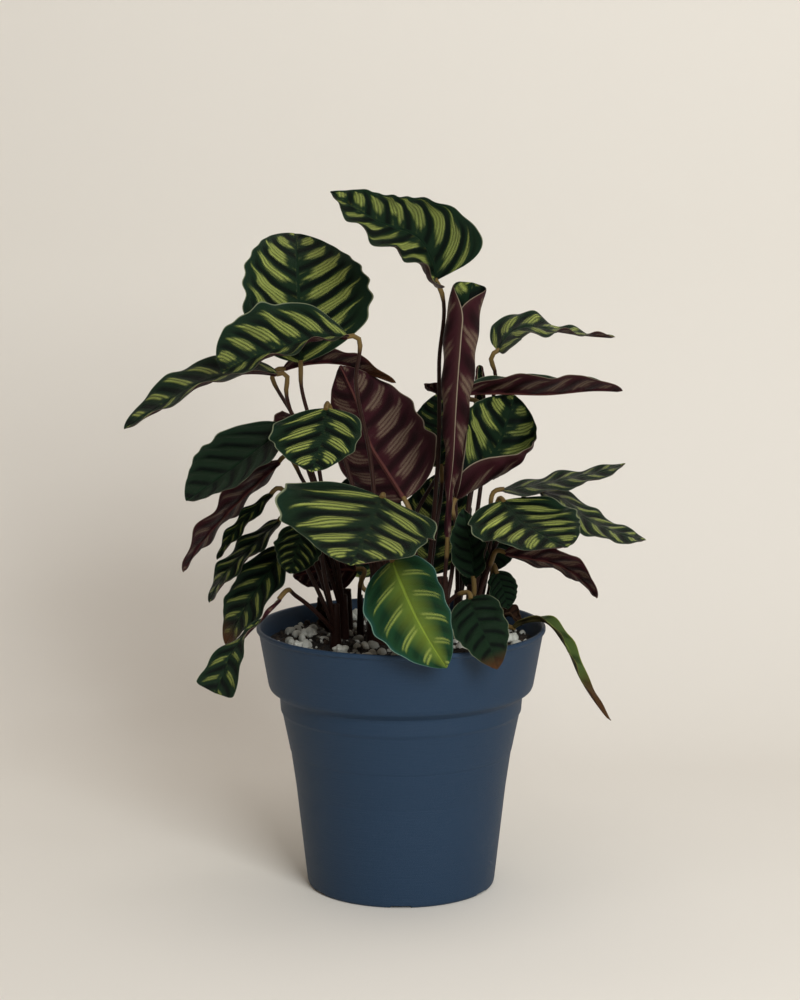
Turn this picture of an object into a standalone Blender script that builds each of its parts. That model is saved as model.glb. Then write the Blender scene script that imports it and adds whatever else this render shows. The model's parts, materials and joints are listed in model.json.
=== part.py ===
"""A potted calathea: broad feathered leaves on wiry stems, in a blue plastic nursery pot.

Metres, +Z up. The origin is the centre of the pot's foot, on the surface that it stands on.
"""

import math
from typing import NamedTuple

import bmesh
import bpy
import numpy as np
from mathutils import Vector
from mathutils.bvhtree import BVHTree

MM = 0.001
GAP = 0.3  # mm left between pieces that rest on each other

# The pot, in mm: radius and height down its outer side
POT_SIDE = (
    (84.6, 155.5), (85, 155), (85, 153), (83.6, 152.2), (78.1, 121), (77.2, 118.8), (72, 115.2),
    (71.6, 113.4), (71, 105.4), (70, 103.8), (65.5, 81.5), (64.3, 79.5), (55.7, 2.5), (55.2, 0.8), (54, 0),
)
POT_SIDES = 40
WALL = 1.8
FLOOR = 2.6
DRAIN_COUNT = 6
DRAIN_RADIUS = 4.5
DRAIN_RING = 38
GROOVE_WIDTH = 12
GROOVE_DEPTH = 1.5
GROOVE_START = 30

# The soil and what stands in it, in mm
SOIL_TOP = 146
SOIL_SIDES = 36
SOIL_RINGS = (20, 38, 54, 68)
SOIL_EDGE_DROP = 1.5
SOIL_EDGE_ROOM = 0.35
HOLE_DEPTH = 12
SHEATH_TIP_SHARE = 0.62

# Leaves and stems, in mm
BLADE_THICKNESS = 0.8
BASE_WIDTH = 2.6
TIP_WIDTH = 1.0
CHORD_EASE = 0.55
STEM_RADIUS = 1.35
STEM_SHARES = (1.15, 1, 0.9)  # of its radius, at its foot, under its joint and at its end
STEM_STRAIGHT = 4  # its last stretch, in line with the blade
STEM_END_GAP = 0.4


class Blade(NamedTuple):
    """One leaf blade. Points and sizes are in mm, angles in degrees.

    rib is the midrib from stem to tip, and faces the way the upper side looks. Each half
    rises from the midrib by fold and bends on towards its margin by curl, each given at
    the base and at the tip. A curl of four is for two halves that are rolled unlike. Unroll
    is how far a roll opens where the blade narrows to its tip.
    """

    name: str
    rib: tuple
    faces: tuple
    width: float
    fold: tuple = (2, 2)
    curl: tuple = (12, 12)
    faces_tip: tuple = None
    wave: float = 1.5
    waves: float = 3
    phase: float = 0
    lean: float = 0
    widest: float = 0.42
    base: float = 0.6
    tip: float = 0.75
    unroll: float = 0
    across: int = 4
    along: int = 9


BLADES = (
    Blade("leaf_top", ((20, -8, 358), (18, -12, 369), (11, -15, 382), (-12, -16, 392), (-40, -12, 409)),
          (0.55, -0.82, 0.05), 80, fold=(36, 10), curl=(55, 10, 15, 15), faces_tip=(0.15, -0.55, 0.8),
          wave=3, waves=4.5, phase=2, lean=-0.42, widest=0.18, base=0.3, tip=0.95, across=6, along=10),
    Blade("leaf_round", ((-59, 22, 308), (-59, 13, 334), (-60, 15, 360), (-62, 36, 383)),
          (0.35, -0.9, 0.15), 80, fold=(4, 4), lean=0.08, widest=0.47, base=0.75, tip=0.7, across=6,
          along=10),
    Blade("leaf_upper_left", ((-30, -20, 327), (-50, -30, 327), (-66, -36, 323), (-84, -40, 317),
                              (-101, -42, 309)),
          (0.1, -0.38, 0.9), 54, fold=(24, 14), wave=3, phase=2.5, lean=0.16, widest=0.65, tip=0.33,
          across=6, along=10),
    Blade("leaf_long_left", ((-71, 5, 303), (-86, 2, 305), (-102, 0, 303), (-123, -4, 296),
                             (-139, -6, 286), (-160, -10, 273)),
          (-0.2, -0.2, 0.95), 46, fold=(7, 7), faces_tip=(-0.6, -0.35, 0.8), wave=2, widest=0.5,
          along=10),
    Blade("leaf_dark_left", ((-66, -20, 276), (-79, -27, 266), (-94, -34, 255), (-122, -42, 236)),
          (-0.45, -0.45, 0.8), 58, fold=(4, 4), wave=1, lean=0.08, widest=0.5, across=6),
    Blade("leaf_small_centre", ((-43, -20, 286), (-45, -45, 271), (-50, -66, 256)),
          (-0.05, -0.55, 0.8), 52, fold=(-6, -6), lean=0.16, wave=1),
    Blade("leaf_big_front", ((-11, -35, 237), (-16, -65, 231), (-21, -95, 223), (-27, -125, 214)),
          (0.3, -0.3, 0.9), 90, fold=(-3, -3), faces_tip=(0.05, -0.4, 0.9), lean=0.18, wave=2.5,
          waves=2.5, across=6, along=10),
    Blade("leaf_drooping_left", ((-71, 15, 251), (-89, 10, 235), (-106, 5, 218), (-118, 2, 204),
                                 (-128, 0, 187)),
          (-0.7, 0.3, 0.6), 48, fold=(-2, -2), wave=2.5, waves=3.5),
    Blade("leaf_tucked_left", ((-75, 0, 234), (-87, -6, 224), (-99, -10, 210), (-107, -14, 197)),
          (-0.7, -0.2, 0.7), 30, fold=(-6, -6)),
    Blade("leaf_low_left", ((-70, -12, 220), (-88, -18, 204), (-101, -23, 191), (-111, -26, 174)),
          (-0.65, -0.2, 0.75), 42, wave=2, fold=(-3, -3)),
    Blade("leaf_low_striped", ((-66, -21, 206), (-78, -29, 190), (-90, -35, 172), (-101, -35, 151)),
          (-0.65, -0.5, 0.6), 44, fold=(0, 0), along=10),
    Blade("leaf_over_rim", ((-68, -57, 183), (-79, -68, 173), (-87, -78, 166), (-95, -86, 156),
                            (-98, -92, 148), (-103, -96, 137)),
          (-0.5, 0.3, 0.8), 27, faces_tip=(-0.5, -0.8, 0.3), fold=(0, 0), widest=0.97, base=3.5,
          tip=0.2, along=10),
    Blade("leaf_purple_centre", ((2, 0, 230), (-10, 12, 247), (-17, 20, 257), (-27, 28, 286), (-36, 24, 306)),
          (0.1, 0.95, -0.2), 70, fold=(28, 28), wave=2, lean=-0.2, widest=0.38, tip=0.9, across=6, along=10),
    Blade("leaf_brown_tip", ((-70, 35, 303), (-51, 38, 307), (-33, 38, 306), (-17, 36, 300),
                             (-3, 34, 295)),
          (0.05, 0.3, 0.95), 34, fold=(10, 10)),
    Blade("leaf_right_top", ((57, 30, 314), (61, 32, 321), (65, 35, 325), (73, 36, 328), (86, 37, 327),
                             (105, 38, 324), (127, 38, 322)),
          (-0.8, -0.4, 0.5), 38, fold=(0, 0), faces_tip=(0, 0.1, 1), wave=2.5, waves=3.5, widest=0.2,
          base=0.25, along=12),
    Blade("leaf_right_purple", ((36, 8, 292), (58, 12, 292), (84, 14, 291), (116, 16, 293),
                                (130, 18, 292)),
          (0, 0.1, 1), 46, fold=(20, 20), along=10),
    Blade("leaf_funnel", ((32, 2, 230), (39, 10, 240), (49, 18, 249), (56, 22, 256), (62, 24, 271),
                          (67, 18, 289)),
          (0.1, -0.95, 0.25), 80, fold=(10, 10), curl=(150, 10, 230, 30), wave=0, across=8, along=9),
    Blade("leaf_right_pointed", ((59, 5, 235), (77, 2, 238), (96, 2, 242), (116, 3, 246),
                                 (131, 4, 251)),
          (-0.2, -0.1, 0.95), 40, fold=(-8, -8)),
    Blade("leaf_right_wide", ((82, 10, 233), (95, 6, 229), (108, 2, 219), (123, -1, 212),
                              (143, -4, 207)),
          (0.4, -0.2, 0.9), 48, fold=(-8, -8)),
    Blade("leaf_right_front", ((59, -10, 231), (65, -28, 226), (69, -40, 223), (76, -56, 221),
                               (87, -72, 217), (92, -80, 216)),
          (-0.05, -0.35, 0.95), 62, fold=(-4, -4), base=0.5, across=6, along=10),
    Blade("leaf_right_brown", ((60, -8, 200), (74, -10, 198), (90, -13, 195), (103, -16, 188),
                               (114, -18, 175)),
          (0.5, 0.4, 0.75), 42, fold=(0, 0)),
    Blade("leaf_front_bright", ((-5, -62, 205), (2, -84, 191), (10, -96, 176), (25, -100, 152)),
          (-0.2, -0.9, 0.35), 46, lean=0.1, wave=1, across=6),
    Blade("leaf_front_dark", ((39, -58, 183), (43, -78, 173), (49, -88, 162), (53, -94, 150)),
          (-0.1, -0.95, 0.25), 31, wave=1),
    Blade("leaf_strap_right", ((66, 9, 152), (75, 1, 158), (85, -6, 159), (96, -12, 147),
                               (106, -18, 126), (122, -26, 104)),
          (0.7, -0.35, 0.65), 12, wave=1, waves=5, fold=(20, 20), along=12),
    Blade("leaf_back_dark", ((24, 36, 244), (22, 48, 265), (22, 54, 286)),
          (-0.3, -0.9, 0.3), 34, along=7),
    Blade("leaf_back_curl", ((41, 32, 285), (23, 34, 289), (14, 30, 295)),
          (0, 0.3, 0.9), 24, along=7),
    Blade("leaf_left_shadow", ((-55, -44, 222), (-59, -48, 209), (-63, -49, 195)),
          (0.3, -0.9, 0.2), 28, along=7),
    Blade("leaf_left_maroon", ((-26, 13, 186), (-45, 14, 186), (-64, 13, 182)),
          (0, 1, 0.25), 30, along=7),
    Blade("leaf_right_shadow", ((55, 28, 212), (57, 30, 198), (56, 30, 182)),
          (0, -0.8, 0.5), 26, along=7),
    Blade("leaf_right_low", ((56, 8, 186), (60, 6, 176), (63, 4, 164)),
          (0.2, -0.8, 0.5), 18, along=7),
    Blade("leaf_right_dark", ((42, -15, 186), (40, -17, 206), (36, -16, 227)),
          (-0.3, -0.9, 0.2), 24, fold=(25, 25), along=7),
    Blade("leaf_right_folded", ((46, 12, 205), (43, 11, 192), (39, 10, 176)),
          (0, -1, 0.1), 17, along=7),
    Blade("leaf_rolled", ((27, -16, 209), (28, -16, 235), (30, -16, 252), (32, -14, 284),
                          (34, -12, 313), (38, -9, 347), (41, -8, 357)),
          (0, -1, 0), 62, fold=(0, 0), curl=(175, 175, 215, 215), wave=0, widest=0.84, base=1.66,
          tip=0.5, unroll=1, across=12, along=11),
    Blade("leaf_back_left", ((-34, 62, 262), (-52, 84, 262), (-74, 104, 244)),
          (-0.2, 0.6, 0.8), 56, along=7),
    Blade("leaf_back_right", ((30, 60, 246), (44, 84, 244), (58, 108, 226)),
          (0.3, 0.6, 0.8), 50, along=7),
    Blade("leaf_young_tip", ((46, 44, 264), (47, 46, 284), (47, 47, 304)),
          (0, -1, 0), 14, fold=(0, 0), curl=(140, 140), wave=0, base=1, tip=0.3, along=5),
    Blade("leaf_back_low_left", ((-24, 61, 172), (-23, 66, 205), (-20, 73, 238)),
          (-0.1, -0.95, 0.3), 56, along=7),
    Blade("leaf_back_low_right", ((18, 62, 174), (22, 68, 205), (28, 76, 236)),
          (0.1, -0.95, 0.3), 46, along=7),
    Blade("leaf_withered", ((-41, 5, 150), (-44, 6, 160), (-48, 5, 172)),
          (-0.5, -0.8, 0.2), 13, fold=(40, 40), curl=(40, 40), along=5),
    Blade("leaf_withered_curl", ((59, 30, 150), (65, 23, 157), (72, 19, 151)),
          (0, -0.5, 0.8), 14, fold=(20, 20), curl=(40, 60), along=6),
)


class Shoot(NamedTuple):
    """Leaf stems that leave the soil at one point, each with the points that it bends through, in mm.

    Radius and sheath are the radius and height of the sheath round their feet.
    """

    name: str
    at: tuple
    stems: dict
    radius: float = 3.6
    sheath: float = 26


SHOOTS = (
    Shoot("stems_left_tall", (-32, 26), {
        "leaf_round": ((-44, 26, 215), (-53, 24, 270), (-59, 22, 298)),
        "leaf_long_left": ((-42, 24, 205), (-58, 16, 262), (-67, 8, 292)),
        "leaf_brown_tip": ((-46, 34, 215), (-62, 37, 270)),
    }),
    Shoot("stems_top", (14, 14), {
        "leaf_top": ((19, 10, 215), (22, 2, 262), (22, -4, 310)),
        "leaf_back_dark": ((20, 18, 205),),
        "leaf_purple_centre": ((8, 8, 200),),
    }, radius=7, sheath=46),
    Shoot("stems_centre", (-12, -8), {
        "leaf_upper_left": ((-14, -14, 215), (-18, -12, 258), (-26, -14, 300)),
        "leaf_small_centre": ((-22, -10, 215), (-34, -10, 260)),
        "leaf_big_front": ((-10, -14, 200), (-10, -20, 228)),
    }, radius=8.5, sheath=52),
    Shoot("stems_left", (-34, 9), {
        "leaf_dark_left": ((-40, 0, 205), (-54, -12, 250)),
        "leaf_drooping_left": ((-44, 5, 205), (-58, 12, 240)),
        "leaf_tucked_left": ((-44, 3, 190), (-62, 1, 226)),
    }),
    Shoot("stems_left_low", (-38, -20), {
        "leaf_low_left": ((-46, -16, 185), (-60, -11, 214)),
        "leaf_low_striped": ((-48, -22, 180), (-59, -24, 202)),
        "leaf_over_rim": ((-48, -30, 168), (-60, -38, 180)),
        "leaf_left_shadow": ((-44, -27, 190), (-50, -36, 222)),
    }),
    Shoot("stems_rolled", (24, -10), {
        "leaf_rolled": ((25, -14, 180),),
        "leaf_funnel": ((30, -5, 190), (32, -1, 215)),
    }, radius=5.5, sheath=40),
    Shoot("stems_right_tall", (34, 22), {
        "leaf_right_top": ((46, 34, 220), (52, 40, 270), (56, 34, 300)),
        "leaf_right_purple": ((32, 16, 225), (29, 10, 270)),
        "leaf_back_curl": ((40, 28, 220), (44, 33, 262)),
        "leaf_young_tip": ((40, 32, 215), (45, 42, 248)),
    }),
    Shoot("stems_right", (42, -2), {
        "leaf_right_pointed": ((46, 2, 195), (52, 5, 222)),
        "leaf_right_wide": ((50, -2, 190), (68, -2, 226)),
        "leaf_right_front": ((46, -4, 190), (54, -4, 218)),
        "leaf_right_brown": ((46, -6, 175), (52, -7, 192)),
        "leaf_right_dark": ((42, -10, 168),),
    }, radius=5.5, sheath=34),
    Shoot("stems_right_low", (46, 18), {
        "leaf_right_shadow": ((52, 20, 190), (54, 21, 212)),
        "leaf_right_low": ((52, 14, 172), (54, 12, 184)),
        "leaf_right_folded": ((48, 17, 190), (50, 16, 206)),
    }),
    Shoot("stems_front", (6, -34), {
        "leaf_front_bright": ((0, -40, 185), (-4, -50, 203)),
        "leaf_front_dark": ((22, -42, 172), (34, -50, 184)),
    }),
    Shoot("stems_back", (-6, 50), {
        "leaf_back_left": ((-14, 54, 215), (-26, 58, 250)),
        "leaf_back_right": ((10, 54, 215), (30, 60, 248)),
        "leaf_back_low_left": ((-10, 55, 158),),
        "leaf_back_low_right": ((4, 54, 158), (12, 58, 166)),
    }),
    Shoot("stems_edge", (56, 16), {
        "leaf_strap_right": ((58, 15, 156),),
    }, radius=3),
    Shoot("stems_left_dark", (-24, 8), {
        "leaf_left_maroon": ((-24, 8, 178),),
    }, radius=2.4),
)

WITHERED = ("leaf_withered", "leaf_withered_curl")
STONES = (
    ("perlite_1", (-54, 1), 6.2), ("perlite_2", (-60, -24), 4.2), ("perlite_3", (-34, -44), 4.6),
    ("perlite_4", (-20, -56), 3.8), ("perlite_5", (64, -12), 5),
)


def smooth_path(points, count=160):
    """The points joined by one smooth curve, as count points at even distances along it."""
    knots = np.array(points, float)
    if len(knots) == 2:
        knots = np.array([knots[0], knots.mean(0), knots[1]])
    gaps = np.linalg.norm(np.diff(knots, axis=0), axis=1)
    at = np.concatenate([[0], np.cumsum(gaps)])
    slopes = np.gradient(knots, at, axis=0, edge_order=2)
    u = np.linspace(0, at[-1], count)
    span = np.clip(np.searchsorted(at, u, side="right") - 1, 0, len(gaps) - 1)
    h = gaps[span]
    q = (u - at[span]) / h
    q, h = q[:, None], h[:, None]
    curve = (
        (1 + 2 * q) * (1 - q) ** 2 * knots[span]
        + q * (1 - q) ** 2 * h * slopes[span]
        + q**2 * (3 - 2 * q) * knots[span + 1]
        - q**2 * (1 - q) * h * slopes[span + 1]
    )
    run = np.concatenate([[0], np.cumsum(np.linalg.norm(np.diff(curve, axis=0), axis=1))])
    even = np.linspace(0, run[-1], count)
    return np.stack([np.interp(even, run, curve[:, k]) for k in range(3)], 1)


def unit(vectors):
    return vectors / np.linalg.norm(vectors, axis=-1, keepdims=True)


def directions(line):
    """The way a midrib runs at each of its points, eased towards the way from its base to its tip."""
    along = unit(np.gradient(line, axis=0))
    return unit(along * (1 - CHORD_EASE) + unit(line[-1] - line[0]) * CHORD_EASE)


def outline(blade, s):
    """The half width at share s of the blade's length, as a share of its largest."""
    low = np.clip(s / blade.widest, 0, 1)
    high = np.clip((s - blade.widest) / (1 - blade.widest), 0, 1)
    lower, upper = (1 - (1 - low) ** 2.2) ** blade.base, (1 - high**2) ** blade.tip
    return np.where(s < blade.widest, lower, upper)


def blade_surface(blade, s, t):
    """The blade's middle surface at shares s of its length and t of its half width, in mm."""
    line = smooth_path(blade.rib)
    share = np.linspace(0, 1, len(line))
    centre = np.stack([np.interp(s, share, line[:, k]) for k in range(3)], 1)
    along = directions(line)
    along = unit(np.stack([np.interp(s, share, along[:, k]) for k in range(3)], 1))
    ease = (s * s * (3 - 2 * s))[:, None]
    up = np.array(blade.faces) * (1 - ease) + np.array(blade.faces_tip or blade.faces) * ease
    up = unit(up - (up * along).sum(1)[:, None] * along)
    side = np.cross(along, up)

    half = np.maximum(outline(blade, s) * blade.width / 2, BASE_WIDTH / 2 * (1 - s) + TIP_WIDTH / 2 * s)
    half = half[:, None] * (1 + blade.lean * t[None, :] * np.sin(math.pi * s)[:, None])
    fold = np.radians(blade.fold[0] * (1 - s) + blade.fold[1] * s)[:, None]
    bends = blade.curl if len(blade.curl) == 4 else blade.curl * 2
    first, last = (np.where(t < 0, bends[k], bends[k + 2]) for k in (0, 1))
    curl = np.radians(first * (1 - s[:, None]) + last * s[:, None])
    curl = np.where(s[:, None] > blade.widest, curl * outline(blade, s)[:, None] ** blade.unroll, curl)
    curl = np.where(np.abs(curl) < 1e-3, 1e-3, curl)
    q = np.abs(t)[None, :]
    turn = fold + curl * q
    out = half / curl * (np.sin(turn) - np.sin(fold))
    rise = half / curl * (np.cos(fold) - np.cos(turn))
    swing = np.sin(2 * math.pi * blade.waves * s[:, None] + blade.phase + 1.3 * np.sign(t)[None, :])
    ripple = blade.wave * q**2 * np.sin(math.pi * s)[:, None] ** 0.6 * swing
    out = (out - ripple * np.sin(turn)) * np.sign(t)[None, :]
    rise = rise + ripple * np.cos(turn)
    return centre[:, None] + side[:, None] * out[..., None] + up[:, None] * rise[..., None]


def smooth(piece):
    """Shades a round piece smooth, with its real edges kept sharp."""
    piece.data.shade_smooth()
    piece.data.set_sharp_from_angle(angle=math.radians(40))


def material(name, colour, roughness):
    made = bpy.data.materials.new(name)
    made.use_nodes = True
    shader = made.node_tree.nodes["Principled BSDF"]
    shader.inputs["Base Color"].default_value = (*colour, 1)
    shader.inputs["Roughness"].default_value = roughness
    shader.inputs["Metallic"].default_value = 0
    made.diffuse_color = (*colour, 1)
    return made


def new_object(name, mesh, collection, look=None):
    made = bpy.data.objects.new(name, mesh)
    collection.objects.link(made)
    if look:
        mesh.materials.append(look)
    return made


def mesh_from(name, shape):
    mesh = bpy.data.meshes.new(name)
    shape.to_mesh(mesh)
    shape.free()
    return mesh


def add_blade(blade, look, collection):
    """A blade as a grid bent to its form, triangulated before it is thickened so that both faces match."""
    even = np.linspace(0, 1, blade.along + 1)
    s = (even + 0.5 - 0.5 * np.cos(math.pi * even)) / 2
    points = blade_surface(blade, s, np.linspace(-1, 1, blade.across + 1)) * MM
    sheet = bmesh.new()
    bmesh.ops.create_grid(sheet, x_segments=blade.across, y_segments=blade.along, size=1)
    for vert, place in zip(sheet.verts, points.reshape(-1, 3)):
        vert.co = place
    bmesh.ops.triangulate(sheet, faces=sheet.faces[:])
    made = new_object(blade.name, mesh_from(blade.name, sheet), collection, look)
    thicken = made.modifiers.new("thickness", "SOLIDIFY")
    thicken.thickness = BLADE_THICKNESS * MM
    thicken.offset = 0
    return made


def add_tube(name, points, radii, collection, look):
    """A round bar through the points, as a closed mesh."""
    curve = bpy.data.curves.new(name, "CURVE")
    curve.dimensions = "3D"
    curve.bevel_depth = MM
    curve.bevel_resolution = 1
    curve.use_fill_caps = True
    spline = curve.splines.new("POLY")
    spline.points.add(len(points) - 1)
    for point, place, radius in zip(spline.points, points, radii):
        point.co = (*(np.array(place) * MM), 1)
        point.radius = radius
    drawn = bpy.data.objects.new(name, curve)
    mesh = bpy.data.meshes.new_from_object(drawn)
    bpy.data.objects.remove(drawn)
    weld = bmesh.new()
    weld.from_mesh(mesh)
    bmesh.ops.remove_doubles(weld, verts=weld.verts, dist=1e-6)
    weld.to_mesh(mesh)
    weld.free()
    mesh.name = name
    mesh.materials.clear()
    return new_object(name, mesh, collection, look)


def as_cutter(piece):
    piece.hide_render = True
    piece.display_type = "WIRE"


def add_shoot(shoot, blades, look, plant, cutters):
    """The stems of one shoot fused with the sheath that they leave the soil in, and the hole for it."""
    x, y = shoot.at
    floor = SOIL_TOP - HOLE_DEPTH
    heights = (floor, SOIL_TOP + 4, SOIL_TOP + shoot.sheath)
    radii = (shoot.radius, shoot.radius, shoot.radius * SHEATH_TIP_SHARE)
    sheath = add_tube(shoot.name, [(x, y, z) for z in heights], radii, plant, look)
    stems = bpy.data.collections.new(shoot.name + "_stems")
    cutters.children.link(stems)
    for name, bends in shoot.stems.items():
        rib = smooth_path(blades[name].rib)
        near, end = (rib[0] - directions(rib)[0] * back for back in (STEM_STRAIGHT, STEM_END_GAP))
        path = [*smooth_path(((x, y, floor + 3), (x, y, SOIL_TOP + 5), *bends, near), 8), end]
        sizes = np.interp(np.linspace(0, 1, 9), (0, 0.8, 1), STEM_SHARES) * STEM_RADIUS
        as_cutter(add_tube(shoot.name + "_" + name, path, sizes, stems, look))
    fuse = sheath.modifiers.new("stems", "BOOLEAN")
    fuse.operation = "UNION"
    fuse.operand_type = "COLLECTION"
    fuse.collection = stems
    ends = [(x, y, floor - GAP), (x, y, SOIL_TOP + 10)]
    hole = add_tube(shoot.name + "_hole", ends, [shoot.radius + GAP] * 2, cutters, None)
    as_cutter(hole)
    return sheath, hole


def add_turned(name, outline_points, sides, collection, look):
    """A profile of radius and height in mm, turned about the pot's axis."""
    profile = bmesh.new()
    verts = [profile.verts.new((r * MM, 0, z * MM)) for r, z in outline_points]
    for a, b in zip(verts, verts[1:]):
        profile.edges.new((a, b))
    made = new_object(name, mesh_from(name, profile), collection, look)
    turn = made.modifiers.new("turn", "SCREW")
    turn.steps = turn.render_steps = sides
    turn.use_merge_vertices = True
    turn.merge_threshold = 1e-5
    return made


def inner_side(gap=0):
    """The pot's inside from the collar's top down to the floor, less a gap: radius and height."""
    return [(POT_SIDE[n][0] - WALL - gap, POT_SIDE[n][1] - gap) for n in (3, 4, 7, 12)]


def add_pot(look, plant, cutters):
    inside = [(r, max(z, FLOOR)) for r, z in reversed(inner_side())]
    lip = (POT_SIDE[0][0] - WALL, POT_SIDE[0][1])
    pot = add_turned("pot", [(0, FLOOR), *inside, lip, *POT_SIDE, (0, 0)], POT_SIDES, plant, look)
    for n in range(DRAIN_COUNT):
        turn = math.radians(-90 + n * 360 / DRAIN_COUNT)
        ahead = Vector((math.cos(turn), math.sin(turn), 0))
        groove = bmesh.new()
        bmesh.ops.create_cube(groove, size=1)
        length = POT_SIDE[-1][0] + 10 - GROOVE_START
        size = Vector((length, GROOVE_WIDTH, 2 * GROOVE_DEPTH)) * MM
        bmesh.ops.scale(groove, verts=groove.verts, vec=size)
        channel = new_object(f"groove_{n + 1}", mesh_from("groove", groove), cutters)
        channel.location = ahead * (GROOVE_START + length / 2) * MM
        channel.rotation_euler.z = turn
        drill = bmesh.new()
        bmesh.ops.create_cone(drill, cap_ends=True, segments=12, radius1=DRAIN_RADIUS * MM,
                              radius2=DRAIN_RADIUS * MM, depth=8 * FLOOR * MM)
        drain = new_object(f"drain_{n + 1}", mesh_from("drain", drill), cutters)
        drain.location = ahead * DRAIN_RING * MM
        for cutter in (channel, drain):
            as_cutter(cutter)
            cut = pot.modifiers.new(cutter.name, "BOOLEAN")
            cut.object = cutter
    return pot


def add_soil(look, plant, holes):
    """The root ball fills the pot to just under its rim, with a lightly uneven top."""
    side = [(r, max(z, FLOOR + GAP)) for r, z in inner_side(GAP)[1:]]
    collar_slope = (POT_SIDE[3][0] - POT_SIDE[4][0]) / (POT_SIDE[3][1] - POT_SIDE[4][1])
    edge = side[0][0] + (SOIL_TOP - side[0][1]) * collar_slope - SOIL_EDGE_ROOM
    top = [(r, SOIL_TOP) for r in (0, *SOIL_RINGS)]
    profile = [*top, (edge, SOIL_TOP - SOIL_EDGE_DROP), *side, (0, FLOOR + GAP)]
    soil = add_turned("soil", profile, SOIL_SIDES, plant, look)
    mesh = bpy.data.meshes.new_from_object(soil.evaluated_get(bpy.context.evaluated_depsgraph_get()))
    soil.modifiers.clear()
    soil.data = mesh
    for vert in mesh.vertices:
        x, y, z = vert.co / MM
        if z > SOIL_TOP - 1 and math.hypot(x, y) < edge - 2:
            mound = 0.8 * math.sin(x / 9 + 1) * math.cos(y / 8) + 0.5 * math.sin(y / 5 + x / 14)
            vert.co.z += mound * MM
    for hole in holes:
        cut = soil.modifiers.new(hole.name, "BOOLEAN")
        cut.object = hole
    return soil


def rest_on(piece, ground):
    """Lowers or lifts a piece until it clears the ground under it by the gap."""
    graph = bpy.context.evaluated_depsgraph_get()
    tree = BVHTree.FromObject(ground, graph)
    room = 1.0
    for vert in piece.evaluated_get(graph).data.vertices:
        place = piece.matrix_world @ vert.co
        hit = tree.ray_cast(place + Vector((0, 0, 0.05)), Vector((0, 0, -1)))
        if hit[0]:
            room = min(room, place.z - hit[0].z)
    for vert in piece.data.vertices:
        vert.co.z -= room - GAP * MM


def add_stone(name, at, size, look, collection):
    """A lump of perlite."""
    lump = bmesh.new()
    bmesh.ops.create_icosphere(lump, subdivisions=1, radius=size * MM)
    seed = len(name) + at[0]
    for vert in lump.verts:
        d = vert.co.normalized()
        grow = 1 + 0.16 * math.sin(6.2 * d.x + seed) + 0.12 * math.cos(4.2 * d.y + 2 * seed)
        grow -= 0.1 * math.sin(5 * d.z + seed)
        vert.co = Vector((d.x * 1.1, d.y * 0.95, d.z * 0.68)) * grow * size * MM
        vert.co += Vector((at[0], at[1], SOIL_TOP + size)) * MM
    bmesh.ops.triangulate(lump, faces=lump.faces[:])
    return new_object(name, mesh_from(name, lump), collection, look)


def main():
    for obj in list(bpy.data.objects):
        bpy.data.objects.remove(obj)
    scene = bpy.context.scene.collection
    plant = bpy.data.collections.new("potted_calathea")
    cutters = bpy.data.collections.new("cutters")
    scene.children.link(plant)
    scene.children.link(cutters)

    leaf = material("leaf green", (0.022, 0.085, 0.03), 0.4)
    stem = material("stem brown", (0.06, 0.03, 0.025), 0.5)
    plastic = material("matte blue plastic", (0.028, 0.05, 0.078), 0.55)
    compost = material("potting soil", (0.03, 0.02, 0.014), 0.95)
    perlite = material("perlite", (0.6, 0.6, 0.55), 0.9)

    blades = {blade.name: blade for blade in BLADES}
    made = {blade.name: add_blade(blade, leaf, plant) for blade in BLADES}
    holes = [add_shoot(shoot, blades, stem, plant, cutters)[1] for shoot in SHOOTS]
    add_pot(plastic, plant, cutters)
    bpy.context.view_layer.update()
    soil = add_soil(compost, plant, holes)
    stones = [add_stone(name, at, size, perlite, plant) for name, at, size in STONES]
    for piece in (*stones, *(made[name] for name in WITHERED)):
        rest_on(piece, soil)
    for piece in plant.objects:
        if piece.name not in made:
            smooth(piece)


main()
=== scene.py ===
# %% [markdown]
# # A potted calathea
#
# A young calathea in a blue nursery pot: broad leaves with yellow-green feathering above and maroon
# below, on thin dark stems, in compost flecked with perlite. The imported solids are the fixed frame.
# They give the sizes, and every piece made here stands where its solid stands.

# %% Load the frame
import json
import math
from functools import partial
from typing import NamedTuple

import bmesh
import bpy
import numpy as np
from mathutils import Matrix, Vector

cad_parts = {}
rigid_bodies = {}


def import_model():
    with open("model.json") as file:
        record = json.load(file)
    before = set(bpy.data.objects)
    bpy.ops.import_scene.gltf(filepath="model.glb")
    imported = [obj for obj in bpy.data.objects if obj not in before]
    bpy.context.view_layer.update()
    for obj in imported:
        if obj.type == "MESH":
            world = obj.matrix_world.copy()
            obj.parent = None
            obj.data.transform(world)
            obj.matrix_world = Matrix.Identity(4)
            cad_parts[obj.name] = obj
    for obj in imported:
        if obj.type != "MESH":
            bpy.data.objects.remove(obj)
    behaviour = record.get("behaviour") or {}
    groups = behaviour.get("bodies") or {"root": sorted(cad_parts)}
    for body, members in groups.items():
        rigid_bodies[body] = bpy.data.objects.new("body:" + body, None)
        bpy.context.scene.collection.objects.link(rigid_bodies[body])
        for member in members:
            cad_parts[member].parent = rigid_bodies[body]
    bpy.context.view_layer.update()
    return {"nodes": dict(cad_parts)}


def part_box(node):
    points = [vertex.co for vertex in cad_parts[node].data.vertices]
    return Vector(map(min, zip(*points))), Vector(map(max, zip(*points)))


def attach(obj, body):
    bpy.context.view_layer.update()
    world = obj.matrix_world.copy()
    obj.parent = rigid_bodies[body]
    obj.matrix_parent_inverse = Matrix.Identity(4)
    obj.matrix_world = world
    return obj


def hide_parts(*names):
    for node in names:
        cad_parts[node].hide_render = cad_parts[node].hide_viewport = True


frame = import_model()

MM = 0.001
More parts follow.
